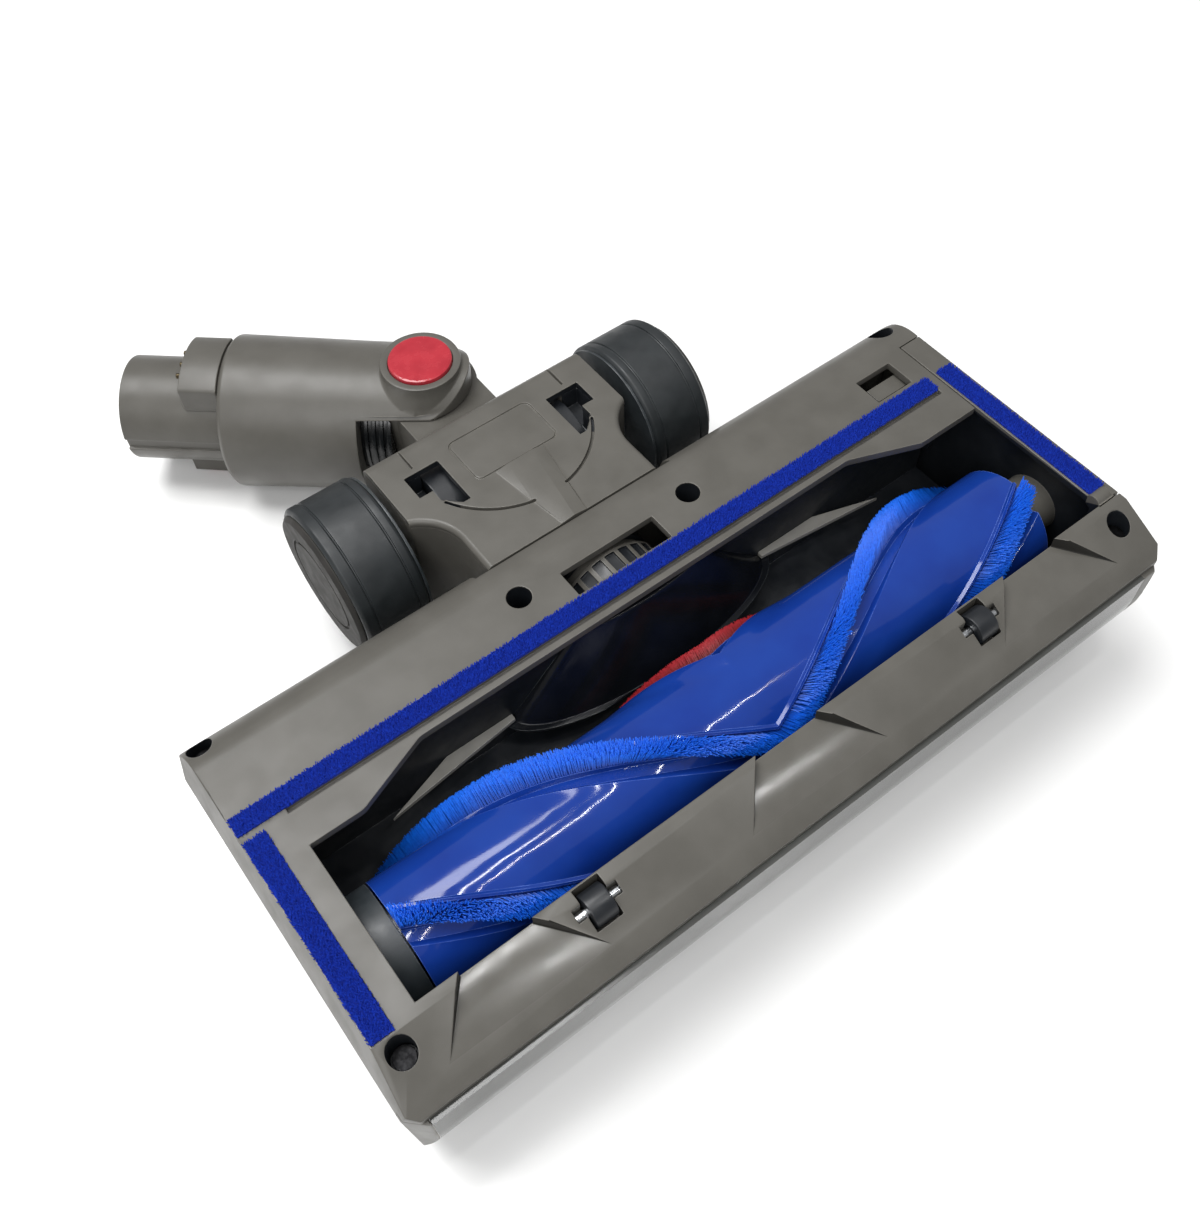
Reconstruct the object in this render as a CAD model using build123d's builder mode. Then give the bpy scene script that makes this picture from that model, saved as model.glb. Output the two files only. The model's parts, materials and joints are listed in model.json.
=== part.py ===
import os
from math import cos, radians, sin

from build123d import *

# Motorised vacuum floor head lying sole up on a table, as in the photograph. All sizes in mm.
# X runs along the head, Y from the front lip back to the wheels, Z up out of the sole.
# Z = 0 is the table and the origin lies on the flat crown of the top cover.

# Head box
y_front = -62.0
y_rear = y_front + 113.5
sole_z = 58.0
parting_z = 45.0
nose_z = 46.8
head_half = 125.0
sole_left = 3.0 - head_half
sole_right = head_half - 1.0
crown_half = head_half - 7.0
crown_edge = head_half - 2.0
crown_edge_z = 6.0
wall = 2.6
cap_x0 = head_half - 8.8
rear_round = 13.0
crown_round = 14.0
slope_front_z = 49.0
slope_front = 0.8
nose_step = 2.2
nose_step_z = 50.4
slope_back = 17.5
window_lead = 1.4
nose_deep = 6.2
corner_cut = 5.0
pane_x1 = cap_x0 - 0.7
pane_curve = 27.0
pane_bulge_y = 7.0
pane_bulge_z = 14.0
pane_upright_z = 40.0
pane_x0 = 5.5 - head_half
pane_y1 = y_front + 24.0
fit_gap = 0.3
seat_gap = 0.1

# Suction mouth and front lip
lip_y = y_front + 20.5
mouth_left = 16.1 - head_half
mouth_rear_end = y_front + 66.9
mouth_rear_mid = y_front + 75.3
mouth_bend_out = head_half - 31.0
mouth_bend_in = head_half - 52.4
mouth_bend_r = 6.0
lip_bar_z = 51.0
lip_bar_depth = 8.5
notch_x = 0.7 * head_half
notch_rear = 20.0
notch_front = 44.0
notch_front_y = y_front + 6.5
notch_depth = 3.0
bar_groove = 1.6
bar_groove_deep = 1.8

# Felt strips
felt_high = 1.5
felt_sunk = 0.8
felt_rear_y0 = y_front + 78.9
felt_rear_y1 = y_front + 84.2
felt_rear_x0 = sole_left + 0.4
felt_rear_x1 = cap_x0 - 3.6
felt_left_x0 = sole_left + 0.4
felt_left_x1 = felt_left_x0 + 5.9
felt_left_y0 = y_front + 18.2
felt_left_y1 = y_front + 76.4
felt_right_x0 = cap_x0 + 0.9
felt_right_x1 = sole_right - 1.4
felt_right_y0 = y_front + 24.8
felt_right_y1 = y_front + 84.0
felt_corner = 1.0

# Screws in the sole
well_r = 3.5
well_boss_r = 5.2
well_floor = 2.0
well_front = (head_half - 8.0, 13.7, nose_z + 0.8)
well_corner = (head_half - 7.0, 108.0, parting_z)
well_middle = (29.1, 94.4, parting_z)
well_spots = [(side * x, y, floor_z) for x, y, floor_z in (well_front, well_corner, well_middle)
              for side in (-1, 1)]
front_post_z = 20.0
front_rib = 4.0
screw_head_r = 2.9
screw_head_high = 2.0
screw_r = 1.5
screw_long = 14.0
post_r = 3.4
screw_gap = 0.2

# Front rollers
roller_x = head_half / 2 + 0.5
roller_y = y_front + 14.8
roller_z = 54.2
roller_r = 4.6
roller_wide = 6.4
roller_axle_r = 1.5
roller_axle_long = 12.6
pocket_gap = 0.5
pocket_wall = 1.0
run_gap = 0.05

# Brush bar
brush_y = y_front + 41.5
brush_z = 36.0
tube_r = 17.3
tube_bore_r = 13.4
tube_x0 = mouth_left + 6.5
tube_x1 = cap_x0 - 9.2
tip_r = 23.4
red_tip_r = tip_r - 1.8
strip_wide = 4.2
strip_root_r = 14.8
strip_gap = 0.1
apex_x = (tube_x0 + tube_x1) / 2 + 2.2
twist_per_mm = 1.72
twist_steps = 22
chevron_angles = (-66.0, 54.0, 174.0)
bush_x0 = tube_x1 - 13.0
cap_pin_r = 5.0

# Motor and chamber
mount_x0 = mouth_left - 4.1
mount_x1 = mouth_left - 0.5
collar_x1 = tube_x0 - 0.5
motor_r = 12.6
motor_x1 = mount_x1 + 89.4
shaft_r = 2.5
shaft_x1 = motor_x1 + 15.0
hub_x0 = motor_x1 + 6.0
hub_x1 = motor_x1 + 16.0
chamber_r = 25.6
liner_wall = 1.6
chamber_back_y = y_front + 79.0
shelf_z = 22.0
liner_top_z = 55.2
liner_front_z = 46.4
liner_x1 = cap_x0 - 3.0

# Duct, roll joint and rear recess
roll_z = 37.0
duct_r = 13.2
spigot_r = 15.5
roll_seat_r = 17.0
roll_seat_long = 7.0
rib_r = 17.4
rib_count = 24
rib_gap_wide = 3.2
rib_gap_long = 6.0
rib_gap_deep = 1.0
rib_rim = 1.2
roll_spigot_y0 = y_front + 86.0
rib_y1 = y_front + 94.0
roll_seat_y0 = y_front + 97.0
dome_top_half = 22.0
dome_base_half = 46.0
dome_top_reach = 4.0
dome_base_reach = 14.4
dome_base_z = 30.0
dome_wall = 1.6
dome_clear = 1.4
dome_drop = 1.0
lip_reach = 1.4
lip_thick = 1.0
ledge_z = dome_base_z + lip_reach
ledge_thick = 1.6
ledge_x0 = dome_base_half - lip_reach
ledge_x1 = head_half - 38.0
ledge_reach = 6.7
ledge_tip = 1.8
ledge_back = head_half - 59.0
recess_half = 34.0
recess_wall = 2.4
recess_y = y_front + 108.3
window_half = 15.8
window_y0 = y_front + 85.2
window_y1 = y_front + 94.0

# Removable end cap on the right
cap_y0 = y_front + 20.4
cap_low_y0 = y_front + 17.8
cap_y1 = y_front + 98.2
cap_step_z = 46.2
cap_z0 = 6.0
cap_skin = 2.4
cap_boss_r = 9.0
cap_boss_x0 = tube_x1 + 0.4
cap_nub_r = 2.4
latch_x0 = cap_x0 - 18.2
latch_y0 = y_front + 88.0
latch_y1 = y_front + 93.4
latch_z0 = 51.0
latch_z1 = 54.6
catch_x0 = latch_x0 - 2.7
catch_x1 = latch_x0 + 10.7
catch_y0 = y_front + 86.0
catch_y1 = y_front + 95.7
lock_y = y_front + 84.0
lock_z = 27.0
lock_r = 8.0
lock_deep = 1.6
lock_stem_r = 4.0
lock_slot = 2.0
lock_sunk = 1.1
lock_floor = 1.4
lock_slot_deep = 1.0
lock_inset = 2.0
cap_side = 4.0

# Wheel carriage
carriage_y0 = y_front + 108.9
carriage_y1 = y_front + 162.0
beam_half = 29.5
cheek_half = 38.3
cheek_in = 25.6
beam_back_y = y_front + 118.0
flare_y0 = y_front + 121.0
flare_y1 = y_front + 135.5
flare_bow_x = 2.6
flare_bow_y = 9.2
chin_high = 4.0
chin_run = 12.0
carriage_top_z = 53.0
pan_top_z = 55.4
carriage_low_z = 16.0
pan_skirt_z = 47.2
pan_round = 4.0
pan_soft = 1.6
spine_high = 0.7
spine_back_half = 8.5
spine_front_half = 4.3
spine_edge = 0.1
badge_half = 14.5
badge_y0 = y_front + 136.0
badge_y1 = y_front + 153.4
badge_groove = 0.5
badge_round = 2.5
vent_x0 = 19.5
vent_x1 = 31.0
vent_y0 = y_front + 132.5
vent_y1 = y_front + 150.0
vent_step_x = 26.6
vent_step_y = y_front + 141.3
vent_cut = 4.6
vent_lead = 2.4
vent_deep = 6.5
arc_y = y_front + 149.3
arc_r = 29.4
arc_wide = 0.9
arc_deep = 1.4
arc_from = 11.0
arc_to = 62.0
seam_x = 27.0
seam_y0 = y_front + 152.0
seam_wide = 0.7

# Wheels
wheel_y = y_front + 147.0
wheel_z = 35.0
wheel_r = 24.0
wheel_in = 41.3
wheel_out = 64.8
flange_r = 23.2
flange_thick = 0.8
tyre_bore_r = 19.4
tyre_end = 1.6
tyre_edge = 1.0
tyre_groove_in = 3.2
tyre_groove_out = 4.6
cap_ring_r = 15.0
cap_ring_wide = 0.9
cap_ring_deep = 0.6
cap_r = 22.4
cap_edge = 1.2
axle_r = 3.0
axle_in = 32.0
axle_short = 3.0
axle_end_gap = 0.4
groove_wide = 0.6
groove_deep = 0.5

# Neck knuckle
barrel_r = 16.0
barrel_half = 25.2
trunnion_r = 6.0
trunnion_out = 31.0
trunnion_root = 1.0
link_half = 15.0
link_lead = 2.0
link_top = 14.5
link_low = 15.0
link_slope = 21.0
link_chin = 16.0
swivel_y = y_front + 191.0
neck_z = 25.0
eye_r = 17.0
eye_z0 = 9.0
eye_z1 = 41.0
air_r = 9.5
air_drop = 2.0
pin_r = 6.0
pin_deep = 7.0

# Neck tube, turned off straight as in the photograph
neck_turn = 49.0
sleeve_r = 25.0
sleeve_t0 = 19.0
sleeve_t1 = 64.0
pipe_r = 17.0
pipe_bore_r = 14.5
pipe_step_r = 13.5
pipe_step_t = 44.0
pipe_t1 = 98.5
ear_r = 18.4
ear_gap = 0.4
boss_r = 12.8
boss_foot_r = 17.0
boss_high = 9.8
boss_ring = 1.8
sleeve_r_in = 24.2
sleeve_edge = 1.4
disc_r = 10.3
disc_high = 2.8
disc_proud = 1.0
low_disc_high = 1.4
low_boss_high = 8.2
key_wide = 4.0
key_deep = 1.0
key_t0 = 66.0
block_t1 = 76.5
block_r = 24.4
block_angle = 30.0
bellows_t0 = 9.0
bellows_r = 20.0
bellows_bore_r = 15.0
bellows_pitch = 2.5
bellows_rib = 0.9
housing_t1 = 84.0
housing_r = 22.5
housing_half = 8.0
housing_lap = 4.0
housing_skin = 2.0
pipe_inset = 1.0
button_t0 = 66.0
button_t1 = 82.0
button_half = 5.0
button_z0 = 1.2
button_z1 = 6.0
button_gap = 0.35
button_room_z = 7.8
contact_r = 0.9
contact_high = 20.6
contact_pitch = 5.0
contact_out = 2.0

os.makedirs("parts", exist_ok=True)


def block(x0, x1, y0, y1, z0, z1, mode=Mode.ADD):
    with Locations(((x0 + x1) / 2, (y0 + y1) / 2, (z0 + z1) / 2)):
        Box(x1 - x0, y1 - y0, z1 - z0, mode=mode)


def rod_x(r, x0, x1, y, z, mode=Mode.ADD):
    with Locations(((x0 + x1) / 2, y, z)):
        Cylinder(r, x1 - x0, rotation=(0, 90, 0), mode=mode)


def rod_y(r, x, y0, y1, z, mode=Mode.ADD):
    with Locations((x, (y0 + y1) / 2, z)):
        Cylinder(r, y1 - y0, rotation=(90, 0, 0), mode=mode)


def rod_z(r, x, y, z0, z1, mode=Mode.ADD):
    with Locations((x, y, (z0 + z1) / 2)):
        Cylinder(r, z1 - z0, mode=mode)


def span(side, near, far):
    # The two ends of a stretch, in order, on the left or the right
    return min(side * near, side * far), max(side * near, side * far)


def head_side(inset):
    # Outline of the whole head seen from its end, drawn inside the wall when inset is not zero
    edge_y = y_front + slope_front
    pane_y = edge_y - window_lead
    with BuildLine() as outline:
        Polyline((edge_y, nose_z), (edge_y, slope_front_z), (edge_y + nose_step, nose_step_z),
                 (y_front + slope_back, sole_z), (y_rear - rear_round, sole_z))
        RadiusArc((y_rear - rear_round, sole_z), (y_rear, sole_z - rear_round), rear_round)
        Line((y_rear, sole_z - rear_round), (y_rear, crown_round))
        RadiusArc((y_rear, crown_round), (y_rear - crown_round, 0), crown_round)
        Line((y_rear - crown_round, 0), (y_front + pane_curve, 0))
        ThreePointArc((y_front + pane_curve, 0), (y_front + pane_bulge_y, pane_bulge_z),
                      (pane_y, pane_upright_z))
        Polyline((pane_y, pane_upright_z), (pane_y, nose_z), (edge_y, nose_z))
    make_face(outline.edges())
    if inset:
        offset(amount=-inset, kind=Kind.INTERSECTION, mode=Mode.REPLACE)


def head_end(inset):
    # Outline of the head seen from the front, which trims the two ends
    with BuildLine() as outline:
        Polyline((-head_half, parting_z), (sole_left, sole_z), (sole_right, sole_z), (head_half, parting_z),
                 (crown_edge, crown_edge_z), (crown_half, 0), (-crown_half, 0), (-crown_edge, crown_edge_z),
                 (-head_half, parting_z))
    make_face(outline.edges())
    if inset:
        offset(amount=-inset, kind=Kind.INTERSECTION, mode=Mode.REPLACE)


# Solid head, its hollow, and the shell between them
with BuildPart() as head_core:
    with BuildSketch(Plane.YZ):
        head_side(wall)
    extrude(amount=head_half, both=True)
    with BuildSketch(Plane.XZ):
        head_end(wall)
    extrude(amount=3 * head_half, both=True, mode=Mode.INTERSECT)
    block(-recess_half - recess_wall, recess_half + recess_wall, recess_y - recess_wall, y_rear, 0, sole_z,
          Mode.SUBTRACT)

with BuildPart() as head_shell:
    with BuildSketch(Plane.YZ):
        head_side(0)
    extrude(amount=head_half, both=True)
    with BuildSketch(Plane.XZ):
        head_end(0)
    extrude(amount=3 * head_half, both=True, mode=Mode.INTERSECT)
    for side in (-1, 1):
        for end, edge_y in ((-1, y_front + slope_front - window_lead), (1, y_rear)):
            with BuildSketch(Plane.XY):
                with BuildLine():
                    Polyline((side * head_half, edge_y - end * corner_cut),
                             (side * (head_half - corner_cut), edge_y),
                             (side * (head_half - corner_cut), edge_y + end * wall),
                             (side * (head_half + wall), edge_y + end * wall),
                             (side * (head_half + wall), edge_y - end * corner_cut), close=True)
                make_face()
            extrude(amount=2 * sole_z, mode=Mode.SUBTRACT)
    add(head_core.part, mode=Mode.SUBTRACT)
    block(-recess_half, recess_half, recess_y, y_rear + wall, -wall, sole_z + wall, Mode.SUBTRACT)
    rod_y(spigot_r + fit_gap, 0, recess_y - 2 * recess_wall, recess_y + wall, roll_z, Mode.SUBTRACT)

# One funnel notch in the lip, cut into the front slope
slope_run = slope_back - slope_front - nose_step
slope_rate = (sole_z - nose_step_z) / slope_run
notch_front_z = sole_z - slope_rate * (y_front + slope_back - notch_front_y)
with BuildPart() as notch_cut:
    with BuildSketch(Plane.YZ):
        with BuildLine():
            Polyline((notch_front_y, notch_front_z), (lip_y + wall, sole_z - notch_depth),
                     (lip_y + wall, sole_z + wall), (notch_front_y, sole_z + wall), close=True)
        make_face()
    extrude(amount=notch_front, both=True)
    with BuildSketch(Plane.XY):
        with BuildLine():
            Polyline((-notch_front / 2, notch_front_y), (-notch_rear / 2, lip_y),
                     (-notch_rear / 2, lip_y + wall), (notch_rear / 2, lip_y + wall), (notch_rear / 2, lip_y),
                     (notch_front / 2, notch_front_y), close=True)
        make_face()
    extrude(amount=2 * sole_z, mode=Mode.INTERSECT)

# Sole plate with the mouth, notches, felt seats, screw wells and roller pockets
with BuildPart() as sole_plate:
    add(head_shell.part)
    block(-head_half, head_half, y_front - wall, y_front + nose_deep, 0, nose_z, Mode.SUBTRACT)
    block(-head_half, head_half, y_front + nose_deep, y_rear + wall, -wall, parting_z, Mode.SUBTRACT)
    block(mouth_left - wall, cap_x0, lip_y - lip_bar_depth, lip_y, lip_bar_z, sole_z - wall)
    for x, y, floor_z in well_spots:
        rod_z(well_boss_r, x, y_front + y, floor_z, sole_z - wall)
    for side in (-1, 1):
        block(side * roller_x - roller_axle_long / 2 - pocket_gap - pocket_wall,
              side * roller_x + roller_axle_long / 2 + pocket_gap + pocket_wall,
              roller_y - roller_r - pocket_gap - pocket_wall, lip_y,
              roller_z - roller_r - pocket_gap - pocket_wall, sole_z - wall)
    with BuildSketch(Plane.YZ):
        head_side(0)
    extrude(amount=head_half, both=True, mode=Mode.INTERSECT)
    with BuildSketch(Plane.XZ):
        head_end(0)
    extrude(amount=3 * head_half, both=True, mode=Mode.INTERSECT)
    with BuildSketch(Plane.XY.offset(lip_bar_z - wall)) as mouth:
        with BuildLine():
            Polyline((-mouth_bend_out, mouth_rear_end), (mouth_left, mouth_rear_end), (mouth_left, lip_y),
                     (cap_x0 - fit_gap, lip_y), (cap_x0 - fit_gap, mouth_rear_end),
                     (mouth_bend_out, mouth_rear_end), (mouth_bend_in, mouth_rear_mid),
                     (-mouth_bend_in, mouth_rear_mid), close=True)
        make_face()
        fillet([v for v in mouth.vertices() if abs(v.X) <= mouth_bend_out], mouth_bend_r)
    extrude(amount=sole_z, mode=Mode.SUBTRACT)
    for x in (-notch_x, 0, notch_x):
        with Locations((x, 0, 0)):
            add(notch_cut.part, mode=Mode.SUBTRACT)
    block(cap_x0 - fit_gap, head_half + wall, cap_y0 - fit_gap, cap_y1 + fit_gap, 0, sole_z + wall,
          Mode.SUBTRACT)
    block(cap_x0 - fit_gap, head_half + wall, cap_low_y0 - fit_gap, cap_y0, 0, cap_step_z + fit_gap,
          Mode.SUBTRACT)
    block(felt_rear_x0 - seat_gap, felt_rear_x1 + seat_gap, felt_rear_y0 - seat_gap, felt_rear_y1 + seat_gap,
          sole_z - felt_sunk, sole_z + wall, Mode.SUBTRACT)
    block(felt_left_x0 - seat_gap, felt_left_x1 + seat_gap, felt_left_y0 - seat_gap, felt_left_y1 + seat_gap,
          sole_z - felt_sunk, sole_z + wall, Mode.SUBTRACT)
    block(mouth_left, felt_rear_x1, felt_rear_y0 - seat_gap - bar_groove, felt_rear_y0,
          sole_z - bar_groove_deep,
          sole_z + wall, Mode.SUBTRACT)
    block(-window_half, window_half, window_y0, window_y1, sole_z - 2 * wall, sole_z + wall, Mode.SUBTRACT)
    block(catch_x0, catch_x1, catch_y0, catch_y1, sole_z - 2 * wall, sole_z + wall, Mode.SUBTRACT)
    for x, y, floor_z in well_spots:
        rod_z(well_r, x, y_front + y, floor_z + well_floor, sole_z + wall, Mode.SUBTRACT)
        rod_z(screw_r + screw_gap, x, y_front + y, floor_z - wall, sole_z, Mode.SUBTRACT)
    for side in (-1, 1):
        block(side * roller_x - roller_wide / 2 - pocket_gap, side * roller_x + roller_wide / 2 + pocket_gap,
              roller_y - roller_r - pocket_gap, roller_y + roller_r + pocket_gap,
              roller_z - roller_r - pocket_gap, sole_z + wall, Mode.SUBTRACT)
        block(side * roller_x - roller_axle_long / 2, side * roller_x + roller_axle_long / 2,
              roller_y - roller_axle_r, roller_y + roller_axle_r, roller_z, sole_z + wall, Mode.SUBTRACT)
        rod_x(roller_axle_r, side * roller_x - roller_axle_long / 2, side * roller_x + roller_axle_long / 2,
              roller_y, roller_z, Mode.SUBTRACT)

# Clear front window and the top cover, cut from the same shell
with BuildPart() as clear_window:
    add(head_shell.part)
    block(pane_x0, pane_x1, y_front - wall, pane_y1, 0, nose_z, Mode.INTERSECT)

with BuildPart() as top_cover:
    add(head_shell.part)
    block(-head_half, head_half, y_front - wall, y_front + nose_deep, nose_z, sole_z + wall, Mode.SUBTRACT)
    block(-head_half, head_half, y_front + nose_deep, y_rear + wall, parting_z, sole_z + wall, Mode.SUBTRACT)
    block(pane_x0 - seat_gap, pane_x1 + seat_gap, y_front - wall, pane_y1 + seat_gap, -wall, nose_z + wall,
          Mode.SUBTRACT)
    for x, y, floor_z in well_spots:
        if floor_z > parting_z:
            rod_z(post_r, x, y_front + y, front_post_z, floor_z)
            block(min(x, x * head_half / abs(x)), max(x, x * head_half / abs(x)), y_front + y - front_rib / 2,
                  y_front + y + front_rib / 2, front_post_z, parting_z)
        else:
            rod_z(post_r, x, y_front + y, wall, floor_z)
    with BuildSketch(Plane.YZ):
        head_side(0)
    extrude(amount=head_half, both=True, mode=Mode.INTERSECT)
    with BuildSketch(Plane.XZ):
        head_end(0)
    extrude(amount=3 * head_half, both=True, mode=Mode.INTERSECT)
    for x, y, floor_z in well_spots:
        rod_z(screw_r, x, y_front + y, floor_z - screw_long, sole_z, Mode.SUBTRACT)
    block(cap_x0 - fit_gap, head_half + wall, cap_low_y0 - fit_gap, cap_y1 + fit_gap, cap_z0 - fit_gap,
          sole_z,
          Mode.SUBTRACT)

# Six screws in the sole wells
with BuildPart() as sole_screws:
    for x, y, floor_z in well_spots:
        seat = floor_z + well_floor
        rod_z(screw_head_r, x, y_front + y, seat, seat + screw_head_high)
        rod_z(screw_r, x, y_front + y, floor_z - screw_long, seat)

# Felt strips
with BuildPart() as felt_rear:
    block(felt_rear_x0, felt_rear_x1, felt_rear_y0, felt_rear_y1, sole_z - felt_sunk, sole_z + felt_high)
    fillet(felt_rear.edges().filter_by(Axis.Z), felt_corner)

with BuildPart() as felt_left:
    block(felt_left_x0, felt_left_x1, felt_left_y0, felt_left_y1, sole_z - felt_sunk, sole_z + felt_high)
    fillet(felt_left.edges().filter_by(Axis.Z), felt_corner)

with BuildPart() as felt_right:
    block(felt_right_x0, felt_right_x1, felt_right_y0, felt_right_y1, sole_z - felt_sunk, sole_z + felt_high)
    fillet(felt_right.edges().filter_by(Axis.Z), felt_corner)


def make_roller(x):
    with BuildPart() as roller:
        rod_x(roller_r, x - roller_wide / 2, x + roller_wide / 2, roller_y, roller_z)
        rod_x(roller_axle_r + run_gap, x - roller_wide, x + roller_wide, roller_y, roller_z, Mode.SUBTRACT)
    return roller


def make_roller_axle(x):
    with BuildPart() as axle:
        rod_x(roller_axle_r, x - roller_axle_long / 2, x + roller_axle_long / 2, roller_y, roller_z)
    return axle


roller_left = make_roller(-roller_x)
roller_right = make_roller(roller_x)
roller_axle_left = make_roller_axle(-roller_x)
roller_axle_right = make_roller_axle(roller_x)


# Brush bar: a tube with three chevron slots, and one bristle strip in each
def twisted_bar(angle, wide, root_r, top_r, mode=Mode.ADD):
    for side, arm in ((1, tube_x1 - apex_x), (-1, apex_x - tube_x0)):
        sections = []
        for step in range(twist_steps + 1):
            along = arm * step / twist_steps
            turn = radians(angle + twist_per_mm * along)
            ring = Plane(origin=(apex_x + side * along, brush_y, brush_z), x_dir=(0, cos(turn), -sin(turn)),
                         z_dir=(1, 0, 0))
            with BuildSketch(ring) as section:
                with Locations((0, (root_r + top_r) / 2)):
                    Rectangle(wide, top_r - root_r)
            sections.append(section.sketch)
        loft(sections, ruled=True, mode=mode)


with BuildPart() as brush_tube:
    rod_x(tube_r, tube_x0, tube_x1, brush_y, brush_z)
    rod_x(tube_bore_r, tube_x0 - wall, tube_x1 + wall, brush_y, brush_z, Mode.SUBTRACT)
    for angle in chevron_angles:
        twisted_bar(angle, strip_wide + 2 * strip_gap, strip_root_r - strip_gap, tip_r, Mode.SUBTRACT)


def make_bristles(angle, top_r):
    with BuildPart() as bristles:
        twisted_bar(angle, strip_wide, strip_root_r, top_r)
    return bristles


bristles_a = make_bristles(chevron_angles[0], tip_r)
bristles_b = make_bristles(chevron_angles[1], red_tip_r)
bristles_c = make_bristles(chevron_angles[2], tip_r)

with BuildPart() as drive_hub:
    rod_x(tube_bore_r, hub_x0, hub_x1, brush_y, brush_z)
    rod_x(shaft_r + run_gap, hub_x0 - wall, hub_x1 + wall, brush_y, brush_z, Mode.SUBTRACT)

with BuildPart() as end_bush:
    rod_x(tube_bore_r, bush_x0, tube_x1, brush_y, brush_z)
    rod_x(cap_pin_r + run_gap, bush_x0 - wall, tube_x1 + wall, brush_y, brush_z, Mode.SUBTRACT)

# Motor inside the brush, held by the mount at the left end
with BuildPart() as motor_can:
    rod_x(motor_r, mount_x1, motor_x1, brush_y, brush_z)
    rod_x(shaft_r, motor_x1, shaft_x1, brush_y, brush_z)


def chamber_side(grow):
    # End outline of the brush chamber: the bore round the brush and the box behind it
    with Locations((brush_y, brush_z)):
        Circle(chamber_r + grow)
    box_y1 = chamber_back_y + grow
    box_z0 = shelf_z - grow
    with Locations(((brush_y + box_y1) / 2, (box_z0 + sole_z) / 2)):
        Rectangle(box_y1 - brush_y, sole_z - box_z0)


def trim_chamber():
    block(-head_half, head_half, y_front, y_rear, liner_top_z, 2 * sole_z, Mode.SUBTRACT)
    block(-head_half, head_half, y_front, brush_y, liner_front_z, 2 * sole_z, Mode.SUBTRACT)


with BuildPart() as motor_mount:
    with BuildSketch(Plane.YZ.offset(mount_x0)):
        chamber_side(liner_wall)
    extrude(amount=mount_x1 - mount_x0)
    trim_chamber()
    rod_x(tube_r, mount_x1, collar_x1, brush_y, brush_z)
    rod_x(motor_r, mount_x1, collar_x1 + wall, brush_y, brush_z, Mode.SUBTRACT)

with BuildPart() as chamber_liner:
    with BuildSketch(Plane.YZ.offset(mount_x1)):
        chamber_side(liner_wall)
    extrude(amount=liner_x1 - mount_x1)
    with BuildSketch(Plane.YZ.offset(mount_x1)):
        chamber_side(0)
    extrude(amount=liner_x1 - mount_x1, mode=Mode.SUBTRACT)
    trim_chamber()
    rod_y(duct_r, 0, chamber_back_y - wall, chamber_back_y + 2 * wall, roll_z, Mode.SUBTRACT)


def make_ledge(side):
    with BuildPart() as ledge:
        with BuildSketch(Plane.XY.offset(ledge_z)):
            with BuildLine():
                Polyline((side * ledge_x0, chamber_back_y), (side * ledge_x0, chamber_back_y - ledge_tip),
                         (side * ledge_x1, chamber_back_y - ledge_reach), (side * ledge_back, chamber_back_y),
                         close=True)
            make_face()
        extrude(amount=ledge_thick)
    return ledge


ledge_left = make_ledge(-1)
ledge_right = make_ledge(1)


# Bell shaped duct roof behind the middle of the brush, with a thin lip along its foot
def dome_solid(inset):
    sections = []
    for z, half, reach in ((dome_base_z, dome_base_half, dome_base_reach),
                           (liner_top_z - dome_drop, dome_top_half, dome_top_reach)):
        with BuildSketch(Plane.XY.offset(z)) as section:
            with Locations((0, chamber_back_y)):
                Ellipse(half - inset, reach - inset)
            with Locations((0, chamber_back_y + dome_base_reach)):
                Rectangle(4 * dome_base_half, 2 * dome_base_reach, mode=Mode.SUBTRACT)
        sections.append(section.sketch)
    loft(sections, ruled=True)


with BuildPart() as dome_void:
    dome_solid(dome_wall)

with BuildPart() as duct_dome:
    dome_solid(0)
    with Locations((0, 0, -dome_wall)):
        add(dome_void.part, mode=Mode.SUBTRACT)
    block(-head_half, head_half, y_front, y_rear, 0, dome_base_z, Mode.SUBTRACT)
    with BuildSketch(Plane.XY.offset(dome_base_z)):
        with Locations((0, chamber_back_y)):
            Ellipse(dome_base_half + lip_reach, dome_base_reach + lip_reach)
            Ellipse(dome_base_half - dome_wall, dome_base_reach - dome_wall, mode=Mode.SUBTRACT)
        with Locations((0, chamber_back_y - dome_base_half)):
            Rectangle(4 * dome_base_half, 2 * dome_base_half, mode=Mode.INTERSECT)
    extrude(amount=lip_thick)
    rod_x(chamber_r - dome_clear, -head_half, head_half, brush_y, brush_z, Mode.SUBTRACT)

# Ring in the rear wall that the carriage turns in
with BuildPart() as roll_seat:
    rod_y(roll_seat_r, 0, roll_seat_y0, roll_seat_y0 + roll_seat_long, roll_z)
    rod_y(spigot_r + run_gap, 0, roll_seat_y0 - wall, recess_y, roll_z, Mode.SUBTRACT)

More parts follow.
